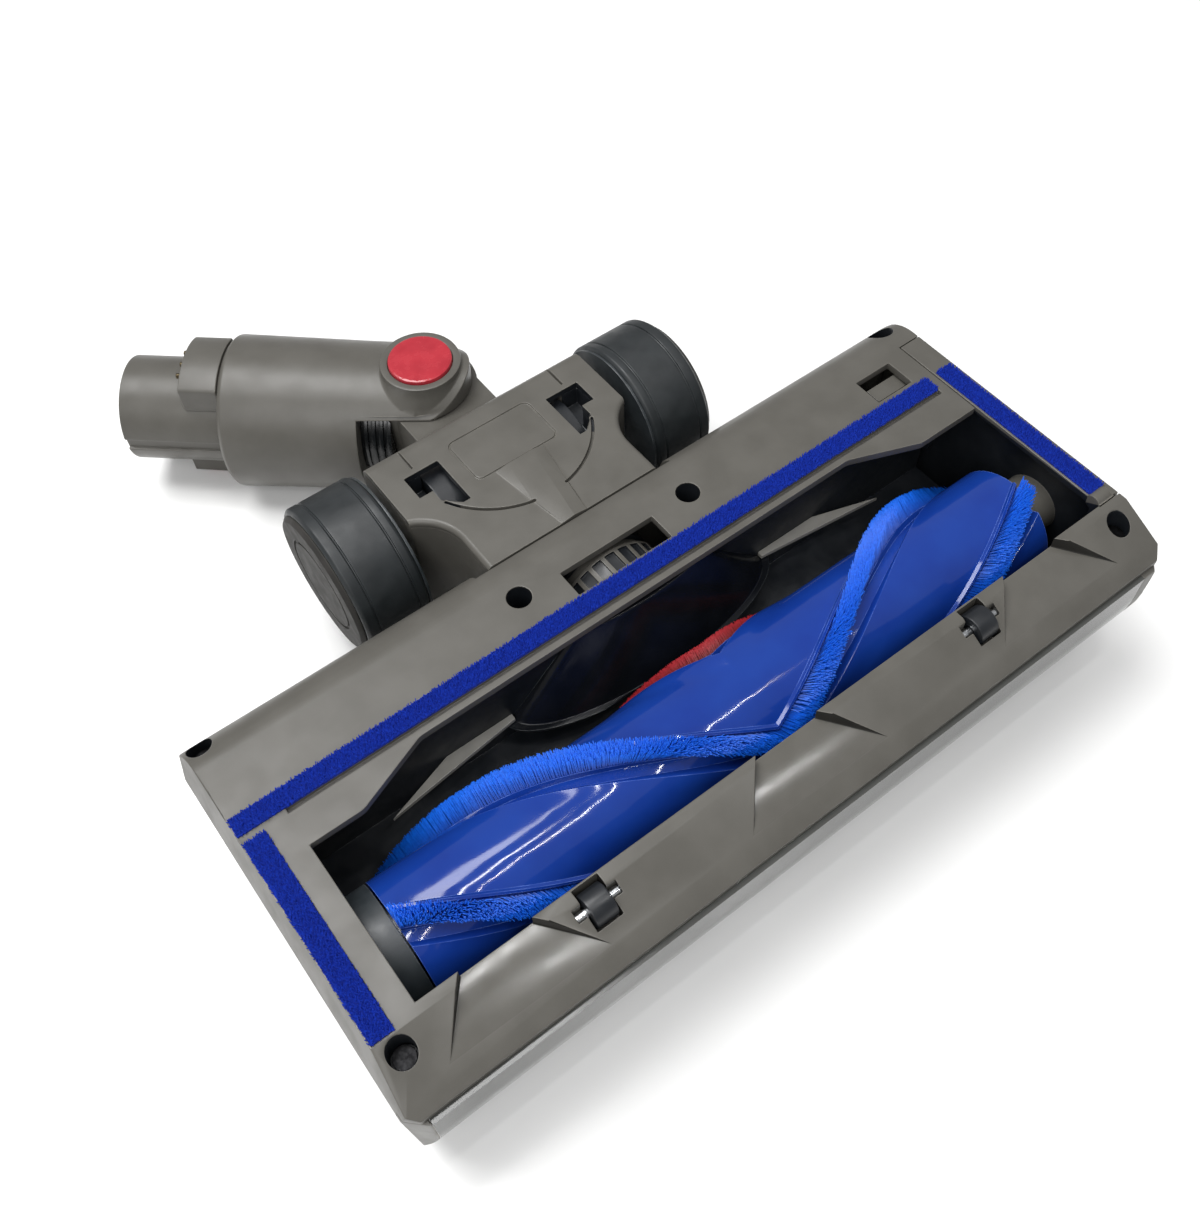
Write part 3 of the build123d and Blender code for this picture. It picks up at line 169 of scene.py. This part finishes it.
barAxis = (0.0, barY * mm, barZ * mm)
barAcross = (0.0, 1.0, 1.0)
materials = {
    # Grey ABS, moulded in an etched tool: a soft wide sheen, faint clouds and paler edges
    "satinGrey": makeMaterial("satinGreyPlastic", {
        "colour": "#514f4a", "tone": "#575550", "cloud": 12.0, "rough": 0.34, "roughTo": 0.42, "smear": 7.0,
        "specular": 0.35, "grain": 0.45, "depth": 0.004, "edgeWearAndSheen": "#7b776f", "edge": 0.35}),
    # Grey ABS from a polished part of the tool: the notch floors mirror the lamps
    "smoothGrey": makeMaterial("smoothGreyPlastic", {
        "colour": "#54524d", "tone": "#595752", "cloud": 9.0, "rough": 0.14, "roughTo": 0.2, "smear": 6.0,
        "edgeWearAndSheen": "#85817a", "edge": 0.25}),
    # Grey ABS darkened as painted shade on the steep notch walls: dark with a thin pale edge
    "notchShadeGrey": makeMaterial("notchShadeGreyPlastic", {
        "colour": "#232220", "tone": "#2a2926", "cloud": 6.0, "rough": 0.35, "roughTo": 0.45, "smear": 4.0,
        "specular": 0.3, "edgeWearAndSheen": "#4c4a45", "edge": 0.2}),
    # Grey ABS, coarsely etched: the wheel faces stay dull at a low angle
    "dullGrey": makeMaterial("dullGreyPlastic", {
        "colour": "#2b2a28", "tone": "#33312f", "cloud": 7.0, "rough": 0.55, "roughTo": 0.68, "smear": 5.0,
        "specular": 0.2, "grain": 0.4, "depth": 0.006, "edgeWearAndSheen": "#5a5852", "edge": 0.25}),
    # Grey ABS painted lighter on the chamber ledges, as painted light where the lamps fall on them: lighter than the
    # black walls round them
    "ledgeLitGrey": makeMaterial("ledgeLitGreyPlastic", {
        "colour": "#82807a", "tone": "#8c8a83", "cloud": 8.0, "rough": 0.3, "roughTo": 0.4, "smear": 5.0,
        "specular": 0.35, "grain": 0.45, "depth": 0.004, "edgeWearAndSheen": "#a5a29a", "edge": 0.3}),
    # Smoked polycarbonate of the front window: a sharp sheen over a see-through grey
    "clearPane": makeMaterial("clearPlastic", {
        "colour": "#575855", "tone": "#5e5f5c", "cloud": 14.0, "rough": 0.07, "roughTo": 0.13, "smear": 6.0,
        "clear": 0.4, "specular": 0.4}),
    # Royal blue wool felt, napped: no shine, tufts under a millimetre
    "blueFelt": makeMaterial("blueFelt", {
        "colour": "#0a1f78", "tone": "#11309c", "cloud": 0.7, "rough": 0.92, "sheen": 0.1, "specular": 0.1}),
    # Azure nylon, drawn to bristles: a soft pile, with painted shade darkening it toward the roots
    "azureNylon": makeMaterial("azureNylonBristle", {
        "colour": "#0352c0", "tone": "#0862d8", "cloud": 0.8, "rough": 0.5, "specular": 0.3,
        "rootShade": "#042f84", "axis": barAxis, "across": barAcross, "rootShadeSpan": (16.5, 21.5)}),
    # Red nylon, drawn to bristles: as the azure, with painted shade toward the roots
    "redNylon": makeMaterial("redNylonBristle", {
        "colour": "#98161f", "tone": "#aa1e28", "cloud": 0.8, "rough": 0.5, "specular": 0.3,
        "rootShade": "#5a1218", "axis": barAxis, "across": barAcross, "rootShadeSpan": (16.5, 21.5)}),
    # Cobalt ABS, moulded in a polished tool: sharp lamp lines, and bright ridges whose pale edge colour is a painted
    # highlight
    "cobaltGloss": makeMaterial("cobaltGlossPlastic", {
        "colour": "#113080", "tone": "#143687", "cloud": 16.0, "rough": 0.08, "roughTo": 0.12, "smear": 6.0,
        "specular": 0.45, "edgeWearAndSheen": "#6f8fe0", "edge": 0.3}),
    # Black ABS, polished: the duct is dark with clear reflections
    "blackGloss": makeMaterial("blackGlossPlastic", {
        "colour": "#0d0f12", "tone": "#131519", "cloud": 9.0, "rough": 0.14, "roughTo": 0.22, "smear": 5.0,
        "specular": 0.3, "edgeWearAndSheen": "#4a4f50", "edge": 0.3}),
    # Black ABS, etched: the chamber's inner walls are near black with a weak sheen; the same near black is painted
    # shade in the screw wells, on the cap's inner side, on the lock's inboard end, in the vents and on the knuckle's
    # barrel
    "blackSatinAndShade": makeMaterial("blackSatinAndShadePlastic", {
        "colour": "#15181c", "tone": "#1b1e22", "cloud": 7.0, "rough": 0.32, "roughTo": 0.48, "smear": 5.0,
        "grain": 0.5, "depth": 0.006, "edgeWearAndSheen": "#33373a", "edge": 0.3}),
    # Slate acetal of the end collar and wheel hubs: cool, waxy and worn pale at its edges
    "slatePlastic": makeMaterial("slatePlastic", {
        "colour": "#23282b", "tone": "#2b3033", "cloud": 5.0, "rough": 0.35, "roughTo": 0.5, "smear": 4.0,
        "edgeWearAndSheen": "#7b7f80", "edge": 0.3}),
    # Charcoal rubber, moulded: the tyres are matt and fine grained
    "charcoalRubber": makeMaterial("charcoalRubber", {
        "colour": "#191d1f", "tone": "#202426", "cloud": 6.0, "rough": 0.4, "roughTo": 0.55, "smear": 5.0,
        "grain": 0.6, "depth": 0.008, "edgeWearAndSheen": "#34383a", "edge": 0.3}),
    # Black rubber, smooth moulded: the bellows shine on each fold
    "glossRubber": makeMaterial("glossRubber", {
        "colour": "#0e1011", "tone": "#141617", "cloud": 5.0, "rough": 0.18, "roughTo": 0.3, "smear": 4.0,
        "grain": 0.8, "depth": 0.008}),
    # Red ABS, polished: the pivot covers and catches carry a clear top shine
    "redGloss": makeMaterial("redGlossPlastic", {
        "colour": "#9c1f2c", "tone": "#a82632", "cloud": 6.0, "rough": 0.2, "roughTo": 0.3, "smear": 3.0,
        "coat": 0.3, "edgeWearAndSheen": "#c8525a", "edge": 0.3}),
    # Chromed steel, turned: the roller axles flash white
    "brightSteel": makeMaterial("brightSteel", {
        "colour": "#d2d4d6", "tone": "#c0c3c6", "cloud": 2.0, "rough": 0.1, "roughTo": 0.24, "smear": 1.2,
        "metal": 1.0}),
    # Zinc plated steel, turned: the axles and hidden pins are a soft grey metal
    "zincSteel": makeMaterial("zincSteel", {
        "colour": "#5c5d5f", "tone": "#6c6d6f", "cloud": 1.5, "rough": 0.28, "roughTo": 0.45, "smear": 1.0,
        "metal": 1.0}),
    # Steel darkened as painted shade at the foot of the screw wells: the sole screws are dark with rubbed edges
    "wellShadeSteel": makeMaterial("wellShadedSteel", {
        "colour": "#151516", "tone": "#1f1f20", "cloud": 1.2, "rough": 0.35, "roughTo": 0.5, "smear": 1.0,
        "metal": 1.0, "edgeWearAndSheen": "#6a6a6c", "edge": 0.2}),
    # Brass, darkened as painted shade in the pins' recess: the contact pins are a dull brown metal
    "brass": makeMaterial("platedBrass", {
        "colour": "#4e4636", "tone": "#443c2e", "cloud": 1.0, "rough": 0.3, "roughTo": 0.45, "smear": 0.8,
        "metal": 1.0}),
    # White laminate: the table takes soft shadows and a weak reflection
    "tableTop": makeMaterial("paleTable", {
        "colour": "#f1f1f0", "tone": "#eeeeed", "cloud": 60.0, "rough": 0.16, "roughTo": 0.24, "smear": 35.0,
        "specular": 0.4}),
}
print("materials made")


def addObject(name, mesh, material, body=None, stands=None):
    obj = bpy.data.objects.new(name, mesh)
    bpy.context.scene.collection.objects.link(obj)
    mesh.materials.clear()
    mesh.materials.append(material)
    if body:
        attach(obj, body)
    if stands:
        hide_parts(*stands)
    return obj


def shade(mesh, angle):
    # Corner normals weighted by face area and corner angle, so broad flat faces stay flat beside rounded edges
    limit = math.cos(math.radians(angle))
    points = [v.co.copy() for v in mesh.vertices]
    around = [[] for _ in points]
    for polygon in mesh.polygons:
        polygon.use_smooth = True
        ring = list(polygon.vertices)
        for k, v in enumerate(ring):
            before, after = points[ring[k - 1]] - points[v], points[ring[(k + 1) % len(ring)]] - points[v]
            weight = before.angle(after, 0.0) * polygon.area
            around[v].append((polygon.normal.copy(), weight))
    corners = []
    for polygon in mesh.polygons:
        for v in polygon.vertices:
            total = Vector()
            for normal, weight in around[v]:
                if normal.dot(polygon.normal) > limit:
                    total += normal * weight
            corners.append(total.normalized() if total.length > 0 else polygon.normal.copy())
    mesh.normals_split_custom_set(corners)


# Rounding of the mouldings' edges: points within weld mm are joined, edges over sharp degrees are rounded,
# and faces within crease degrees shade as one
rounding = {"weld": 0.004, "sharp": 28.0, "segments": 2, "crease": 38.0}


def dress(name, material, bevel, regions=(), reshape=None):
    # A copy of the CAD node with its sharp edges rounded by bevel mm; each region is a material and a face test,
    # and reshape moves a point in mm
    build = bmesh.new()
    build.from_mesh(nodes[name].data)
    bmesh.ops.remove_doubles(build, verts=build.verts, dist=rounding["weld"] * mm)
    least = math.radians(rounding["sharp"])
    sharp = [e for e in build.edges if len(e.link_faces) == 2 and e.calc_face_angle(0) > least]
    if bevel:
        surface = BVHTree.FromBMesh(build)
        bmesh.ops.bevel(build, geom=sharp, offset=bevel * mm, offset_type="OFFSET", segments=rounding["segments"],
                        profile=0.5, affect="EDGES", clamp_overlap=False)
        for vert in build.verts:
            # A corner that the rounding throws off the surface goes back to it
            spot, _, _, away = surface.find_nearest(vert.co)
            if away > bevel * mm / 2:
                vert.co = spot
    if reshape:
        for vert in build.verts:
            vert.co = reshape(vert.co / mm) * mm
    mesh = bpy.data.meshes.new(name + "Look")
    build.to_mesh(mesh)
    build.free()
    shade(mesh, rounding["crease"])
    addObject(name + "Look", mesh, materials[material], nodeBody[name], [name])
    for index, (other, test) in enumerate(regions, 1):
        mesh.materials.append(materials[other])
        for polygon in mesh.polygons:
            if test(polygon.center / mm, polygon.normal):
                polygon.material_index = index


# Moulded head: the sole with painted shade in its screw wells, painted shade on the cap's inner side, and the black
# chamber
head = {
    "sole": 58.0, "wellR": 3.6, "wellRim": 0.6, "capInner": 121.0, "capRim": 1.0, "capLean": 0.5, "lockInner": 122.0,
    "wells": [(-117.0, -48.3), (117.0, -48.3), (-118.0, 46.0), (118.0, 46.0), (-29.1, 32.4), (29.1, 32.4)],
    "lipRear": frontY + 22.0, "lipLow": 44.0, "floorLean": (0.97, 0.995), "notchEnd": 112.5, "wallLow": 50.0,
    "wallLean": 0.45,
}


def inWell(centre, normal):
    return centre.z < head["sole"] - head["wellRim"] and any(
        math.hypot(centre.x - x, centre.y - y) < head["wellR"] for x, y in head["wells"])


def inCap(centre, normal):
    return inWell(centre, normal) or (normal.x < -head["capLean"] and centre.x < head["capInner"]
                                      and centre.z < head["sole"] - head["capRim"])


def inNotch(centre, normal):
    least, most = head["floorLean"]
    return centre.y < head["lipRear"] and least < normal.z < most and centre.z > head["lipLow"]


def inNotchWall(centre, normal):
    return (centre.y < head["lipRear"] and abs(normal.x) > head["wallLean"] and abs(centre.x) < head["notchEnd"]
            and centre.z > head["wallLow"])


def inLock(centre, normal):
    return centre.x < head["lockInner"]


# On the sole the notch walls and the insides of the screw wells take painted shade; the notch floors are the glossier
# grey
dress("sole_plate", "satinGrey", 0.3, [("smoothGrey", inNotch), ("notchShadeGrey", inNotchWall), ("blackSatinAndShade", inWell)])
# The cap's inner side and the lock's inboard end take painted shade
dress("end_cap", "satinGrey", 0.3, [("blackSatinAndShade", inCap)])
dress("cap_lock", "redGloss", 0.3, [("blackSatinAndShade", inLock)])
headPieces = {
    "top_cover": ("satinGrey", 0.4), "clear_window": ("clearPane", 0.0), "ledge_left": ("ledgeLitGrey", 0.2),
    "ledge_right": ("ledgeLitGrey", 0.2), "roll_seat": ("blackSatinAndShade", 0.0), "motor_can": ("zincSteel", 0.0),
    "motor_mount": ("slatePlastic", 0.3), "chamber_liner": ("blackSatinAndShade", 0.2), "duct_dome": ("blackGloss", 0.25),
    "sole_screws": ("wellShadeSteel", 0.15), "roller_left": ("blackSatinAndShade", 0.5),
    "roller_right": ("blackSatinAndShade", 0.5), "roller_axle_left": ("brightSteel", 0.25),
    "roller_axle_right": ("brightSteel", 0.25), "drive_hub": ("slatePlastic", 0.0), "end_bush": ("slatePlastic", 0.3),
}
for name, (material, bevel) in headPieces.items():
    dress(name, material, bevel)
print("head dressed")

# Carriage with painted shade in its vents, and a rolling collar with dark gaps between its ribs
carriage = {"ventX": (19.0, 31.6), "ventY": (frontY + 132.0, frontY + 150.5), "top": 55.0, "rollZ": 37.0,
            "ribR": 17.1}


def inVent(centre, normal):
    return (carriage["ventX"][0] < abs(centre.x) < carriage["ventX"][1] and centre.z < carriage["top"]
            and carriage["ventY"][0] < centre.y < carriage["ventY"][1])


def inRib(centre, normal):
    return math.hypot(centre.x, centre.z - carriage["rollZ"]) < carriage["ribR"]


dress("carriage_shell", "satinGrey", 0.5, [("blackSatinAndShade", inVent)])
dress("carriage_pan", "satinGrey", 0.25, [("blackSatinAndShade", inVent)])
dress("roll_collar", "satinGrey", 0.12, [("blackSatinAndShade", inRib)])

# Neck: the knuckle's barrel takes painted shade behind the vents, and the fork's ears are slim past the red discs
neck = {"barrel": (frontY + 147.0, 35.0), "barrelR": 16.4, "swivel": Vector((0.0, frontY + 191.0, 0.0)),
        "along": Vector((-0.7547, 0.6561, 0.0)), "bossR": 13.2, "slim": 0.4}


def inBarrel(centre, normal):
    y, z = neck["barrel"]
    return math.hypot(centre.y - y, centre.z - z) < neck["barrelR"]


def slimEar(point):
    # Draws a point of the fork toward the red disc's boss, most of all straight away from the sleeve
    out = point - neck["swivel"]
    out.z = 0.0
    if out.length <= neck["bossR"]:
        return point
    back = min(max(-out.dot(neck["along"]) / out.length, 0.0), 1.0)
    pull = (out.length - neck["bossR"]) * (1 - neck["slim"]) * math.sqrt(back)
    return point - out.normalized() * pull


dress("knuckle", "satinGrey", 0.5, [("blackSatinAndShade", inBarrel)])
dress("neck_sleeve", "satinGrey", 0.5, reshape=slimEar)

# Wheels and the rest of the neck
rearPieces = {
    "neck_spigot": ("satinGrey", 0.4), "contact_block": ("satinGrey", 0.5), "contact_pins": ("brass", 0.2),
    "release_button": ("redGloss", 0.8), "bellows": ("glossRubber", 0.15), "pivot_pin_top": ("zincSteel", 0.0),
    "pivot_pin_bottom": ("zincSteel", 0.0), "pivot_disc_top": ("redGloss", 0.7), "pivot_disc_bottom": ("redGloss", 0.4),
    "axle_left": ("zincSteel", 0.2), "axle_right": ("zincSteel", 0.2), "hub_left": ("slatePlastic", 0.2),
    "hub_right": ("slatePlastic", 0.2), "tyre_left": ("charcoalRubber", 0.3), "tyre_right": ("charcoalRubber", 0.3),
    "wheel_cap_left": ("dullGrey", 0.2), "wheel_cap_right": ("dullGrey", 0.2),
}
for name, (material, bevel) in rearPieces.items():
    dress(name, material, bevel)
print("carriage, wheels and neck dressed")

# Brush bar, the CAD bar's sizes with a channel before each strip and a ridge behind it
brush = {
    "y": barY, "z": barZ, "x0": -102.4, "x1": 107.0, "tubeR": 17.3, "boreR": 13.4, "tubeSteps": 300,
    "twist": 1.72, "angles": (-66.0, 54.0, 174.0), "apexShift": 2.2, "lipHigh": 1.3, "lipLong": 30.0, "crease": 40,
}
brush["apex"] = (brush["x0"] + brush["x1"]) / 2 + brush["apexShift"]
# The tube's skin: mm round the tube from the middle of a strip, rise over the tube's radius, and 1 on the lip
brush["skin"] = [(-13.0, 0.0, 0), (-8.6, 0.0, 1), (-7.4, 0.1, 1), (-6.9, -0.3, 1), (-6.2, -1.7, 0), (-2.6, -2.0, 0),
                 (-2.3, -0.4, 0), (2.3, -0.4, 0), (2.8, 0.7, 0), (3.6, 0.8, 0), (4.2, 0.0, 0), (26.0, 0.0, 0)]
# Nylon strips: fibres in rows across the strip, fanned and uneven at their tips. Real ones are near 0.1 mm
# thick; these are drawn coarser so that they show
strip = {
    "wide": 4.2, "rows": 13, "step": 0.32, "middleR": 19.0, "rootR": 15.4, "tips": {"A": 23.4, "B": 20.3, "C": 23.4},
    "inset": 0.3, "endGap": 0.1, "slip": 0.2, "gather": 0.9, "fan": 1.12, "stray": 0.45, "crown": 0.9,
    "crownPower": 4, "uneven": 0.8, "lean": 0.5, "fibre": 0.36, "taper": 0.6, "soft": 1.2,
}


def brushPoint(x, degrees, r):
    turn = math.radians(degrees)
    return Vector((x, brush["y"] + r * math.sin(turn), brush["z"] + r * math.cos(turn))) * mm


def landRadius(arc, lip):
    # Tube radius at arc mm round the tube from the middle of the nearest strip; lip mm stand up before the strip
    steps = [(place, rise + onLip * lip) for place, rise, onLip in brush["skin"]]
    for (a, riseA), (b, riseB) in zip(steps, steps[1:]):
        if a <= arc <= b:
            return brush["tubeR"] + riseA + (riseB - riseA) * (arc - a) / (b - a)
    return brush["tubeR"]


def makeTube():
    apex = brush["apex"]
    perDegree = math.radians(1) * brush["tubeR"]
    arcs = [-13.0, -11.5, -10.0, -8.6, -7.4, -6.9, -6.2, -4.4, -2.6, -2.3, 0.0, 2.3, 2.8, 3.6, 4.2, 5.8, 7.5, 9.6,
            11.8, 13.5, 15.2, 17.0, 19.0, 21.0]
    around = [(start, arc) for start in brush["angles"] for arc in arcs]
    steps = brush["tubeSteps"]
    build = bmesh.new()
    rings = []
    for i in range(steps + 1):
        x = brush["x0"] + (brush["x1"] - brush["x0"]) * i / steps
        turn = brush["twist"] * abs(x - apex)
        lip = brush["lipHigh"] * math.exp(-((x - apex) / brush["lipLong"]) ** 2)
        rings.append([build.verts.new(brushPoint(x, start + turn + arc / perDegree, landRadius(arc, lip)))
                      for start, arc in around])
    for x in (brush["x0"], brush["x1"]):
        turn = brush["twist"] * abs(x - apex)
        inner = [build.verts.new(brushPoint(x, start + turn + arc / perDegree, brush["boreR"]))
                 for start, arc in around]
        if x < apex:
            rings.insert(0, inner)
        else:
            rings.append(inner)
    count = len(around)
    for a, b in zip(rings, rings[1:]):
        for k in range(count):
            build.faces.new((a[k], a[(k + 1) % count], b[(k + 1) % count], b[k]))
    bmesh.ops.recalc_face_normals(build, faces=build.faces)
    mesh = bpy.data.meshes.new("brushTubeLook")
    build.to_mesh(mesh)
    build.free()
    shade(mesh, brush["crease"])
    addObject("brushTubeLook", mesh, materials["cobaltGloss"], "brush", ["brush_tube"])


def addFibre(verts, faces, grow, root, tip, width, taper):
    # One three-sided fibre from root to tip; grow keeps its direction for each face
    along = (tip - root).normalized()
    side = along.orthogonal().normalized()
    other = along.cross(side)
    first = len(verts)
    for centre, size in ((root, width), (tip, width * taper)):
        for k in range(3):
            turn = k * math.tau / 3
            verts.append(centre + (side * math.cos(turn) + other * math.sin(turn)) * size * mm / 2)
    for k in range(3):
        n = (k + 1) % 3
        faces.append((first + k, first + n, first + 3 + n, first + 3 + k))
    faces.append((first + 3, first + 4, first + 5))
    grow += [along] * 4


def softNormals(mesh, grow, share):
    # Fibre normals leaned toward the fibre's own direction, so that the pile shades as one soft surface
    corners = []
    for polygon, along in zip(mesh.polygons, grow):
        corners += [(polygon.normal + along * share).normalized()] * polygon.loop_total
        polygon.use_smooth = True
    mesh.normals_split_custom_set(corners)


def makeBristles(letter, start, material):
    apex = brush["apex"]
    perDegree = math.radians(1) * strip["middleR"]
    verts, faces, grow = [], [], []
    count = int((brush["x1"] - brush["x0"]) / strip["step"])
    run = brush["x1"] - brush["x0"] - 2 * strip["inset"]
    for i in range(count + 1):
        for row in range(strip["rows"]):
            x = brush["x0"] + strip["inset"] + run * i / count + random.uniform(-strip["slip"], strip["slip"])
            x = min(max(x, brush["x0"] + strip["endGap"]), brush["x1"] - strip["endGap"])
            across = strip["wide"] * (row / (strip["rows"] - 1) - 0.5)
            fan = across * strip["fan"] + random.uniform(-strip["stray"], strip["stray"])
            turn = start + brush["twist"] * abs(x - apex)
            crown = strip["crown"] * (2 * across / strip["wide"]) ** strip["crownPower"]
            reach = strip["tips"][letter] - crown - random.uniform(0, strip["uneven"])
            root = brushPoint(x, turn + across * strip["gather"] / perDegree, strip["rootR"])
            lean = random.uniform(-strip["lean"], strip["lean"])
            tip = brushPoint(x + lean, turn + fan / perDegree, reach)
            addFibre(verts, faces, grow, root, tip, strip["fibre"], strip["taper"])
    mesh = bpy.data.meshes.new("bristles" + letter + "Look")
    mesh.from_pydata(verts, [], faces)
    softNormals(mesh, grow, strip["soft"])
    addObject("bristles" + letter + "Look", mesh, materials[material], "brush", ["bristles_" + letter.lower()])


makeTube()
for letter, start, material in zip("ABC", brush["angles"], ("azureNylon", "redNylon", "azureNylon")):
    makeBristles(letter, start, material)
print("brush made")

# Felt strips as a base with a short pile, coarser than real wool so that it shows
felt = {"pitch": 0.4, "baseHigh": 1.1, "rootHigh": 0.6, "width": 0.36, "taper": 0.7, "scatter": 0.15, "lean": 0.35,
        "uneven": 0.3, "edgeDrops": (0.4, 0.12), "soft": 0.8}


def makeFelt(name):
    low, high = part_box(name)
    low, high = Vector(low) / mm, Vector(high) / mm
    top = high.z
    verts, faces, grow = [], [], [Vector()] * 6
    first = [(low.x, low.y), (high.x, low.y), (high.x, high.y), (low.x, high.y)]
    for z in (low.z, low.z + felt["baseHigh"]):
        verts += [Vector((x, y, z)) * mm for x, y in first]
    faces += [(0, 1, 2, 3), (4, 5, 6, 7)] + [(k, (k + 1) % 4, 4 + (k + 1) % 4, 4 + k) for k in range(4)]
    across = int((high.x - low.x) / felt["pitch"])
    along = int((high.y - low.y) / felt["pitch"])
    for i in range(across + 1):
        for j in range(along + 1):
            x = low.x + (high.x - low.x) * i / across + random.uniform(-felt["scatter"], felt["scatter"])
            y = low.y + (high.y - low.y) * j / along + random.uniform(-felt["scatter"], felt["scatter"])
            edge = min(i, across - i, j, along - j)
            drop = felt["edgeDrops"][edge] if edge < len(felt["edgeDrops"]) else 0.0
            lean = Vector([random.uniform(-felt["lean"], felt["lean"]) for _ in range(2)] + [0])
            root = Vector((x, y, low.z + felt["rootHigh"]))
            tip = Vector((x, y, top - drop - random.uniform(0, felt["uneven"]))) + lean
            addFibre(verts, faces, grow, root * mm, tip * mm, felt["width"], felt["taper"])
    mesh = bpy.data.meshes.new(name + "Look")
    mesh.from_pydata(verts, [], faces)
    softNormals(mesh, grow, felt["soft"])
    addObject(name + "Look", mesh, materials["blueFelt"], nodeBody[name], [name])


for name in ("felt_rear", "felt_left", "felt_right"):
    makeFelt(name)
print("felt made")

# Table, light and camera
studio = {
    "floor": 6.0, "sky": "#fdfdff", "zenith": 0.4, "horizon": 0.35,
    "lamps": {
        "softbox": {"place": (-0.25, 0.45, 1.3), "aim": (-0.1, 0.2, 0.03), "size": (0.75, 0.75), "power": 17},
        "sideFill": {"place": (-0.8, -0.6, 1.1), "aim": (0, 0, 0.03), "size": (0.8, 0.8), "power": 9},
        # The two narrow lamps draw the thin lines on the tube and the shine on the left notch
        "stripLight": {"place": (0.3, -0.42, 1.25), "aim": (0, -0.42, 0.04), "size": (0.45, 0.012), "power": 2.2},
        "lipLight": {"place": (0.06, -0.11, 1.24), "aim": (-0.3, -0.11, 0.05), "size": (0.22, 0.04), "power": 1.1},
    },
}
floorMesh = bpy.data.meshes.new("tableTop")
half = studio["floor"] / 2
floorMesh.from_pydata([(-half, -half, 0), (half, -half, 0), (half, half, 0), (-half, half, 0)], [], [(0, 1, 2, 3)])
addObject("tableTop", floorMesh, materials["tableTop"])

world = bpy.data.worlds.new("softStudio")
bpy.context.scene.world = world
world.use_nodes = True
tree = world.node_tree
place = addNode(tree, "ShaderNodeTexCoord", {})
split = addNode(tree, "ShaderNodeSeparateXYZ", {}, {"Vector": place.outputs["Generated"]})
ramp = addNode(tree, "ShaderNodeMapRange", {"From Min": 0.0, "From Max": 1.0, "To Min": studio["horizon"],
                                            "To Max": studio["zenith"]}, {"Value": split.outputs["Z"]})
tree.links.new(ramp.outputs["Result"], tree.nodes["Background"].inputs["Strength"])
tree.nodes["Background"].inputs["Color"].default_value = linear(studio["sky"])


def addLight(name, lamp):
    light = bpy.data.lights.new(name, "AREA")
    light.shape = "RECTANGLE"
    light.size, light.size_y = lamp["size"]
    light.energy = lamp["power"]
    obj = bpy.data.objects.new(name, light)
    bpy.context.scene.collection.objects.link(obj)
    obj.location = lamp["place"]
    direction = Vector(lamp["aim"]) - Vector(lamp["place"])
    obj.rotation_euler = direction.to_track_quat("-Z", "X").to_euler()


for name, lamp in studio["lamps"].items():
    addLight(name, lamp)

# The photograph's viewpoint: focal length and width in its pixels, place in metres, and the two directions
viewpoint = {"sensor": 36.0, "focalPixels": 1247, "photoWide": 1200, "nearest": 0.01,
             "place": (-0.1200, frontY * mm - 0.0704, 0.3337),
             "forward": (0.32104, 0.45089, -0.83285), "upward": (0.51090, 0.65801, 0.55318)}
camera = bpy.data.cameras.new("photoCamera")
camera.sensor_fit = "HORIZONTAL"
camera.sensor_width = viewpoint["sensor"]
camera.lens = viewpoint["focalPixels"] / viewpoint["photoWide"] * viewpoint["sensor"]
camera.clip_start = viewpoint["nearest"]
cameraObject = bpy.data.objects.new("photoCamera", camera)
bpy.context.scene.collection.objects.link(cameraObject)
forward = Vector(viewpoint["forward"]).normalized()
upward = Vector(viewpoint["upward"]).normalized()
right = forward.cross(upward).normalized()
turn = Matrix((right, upward, -forward)).transposed().to_4x4()
cameraObject.matrix_world = Matrix.Translation(viewpoint["place"]) @ turn
bpy.context.scene.camera = cameraObject
bpy.context.scene.view_settings.view_transform = "Standard"
bpy.context.scene.view_settings.look = "None"
print("table, light and camera set")
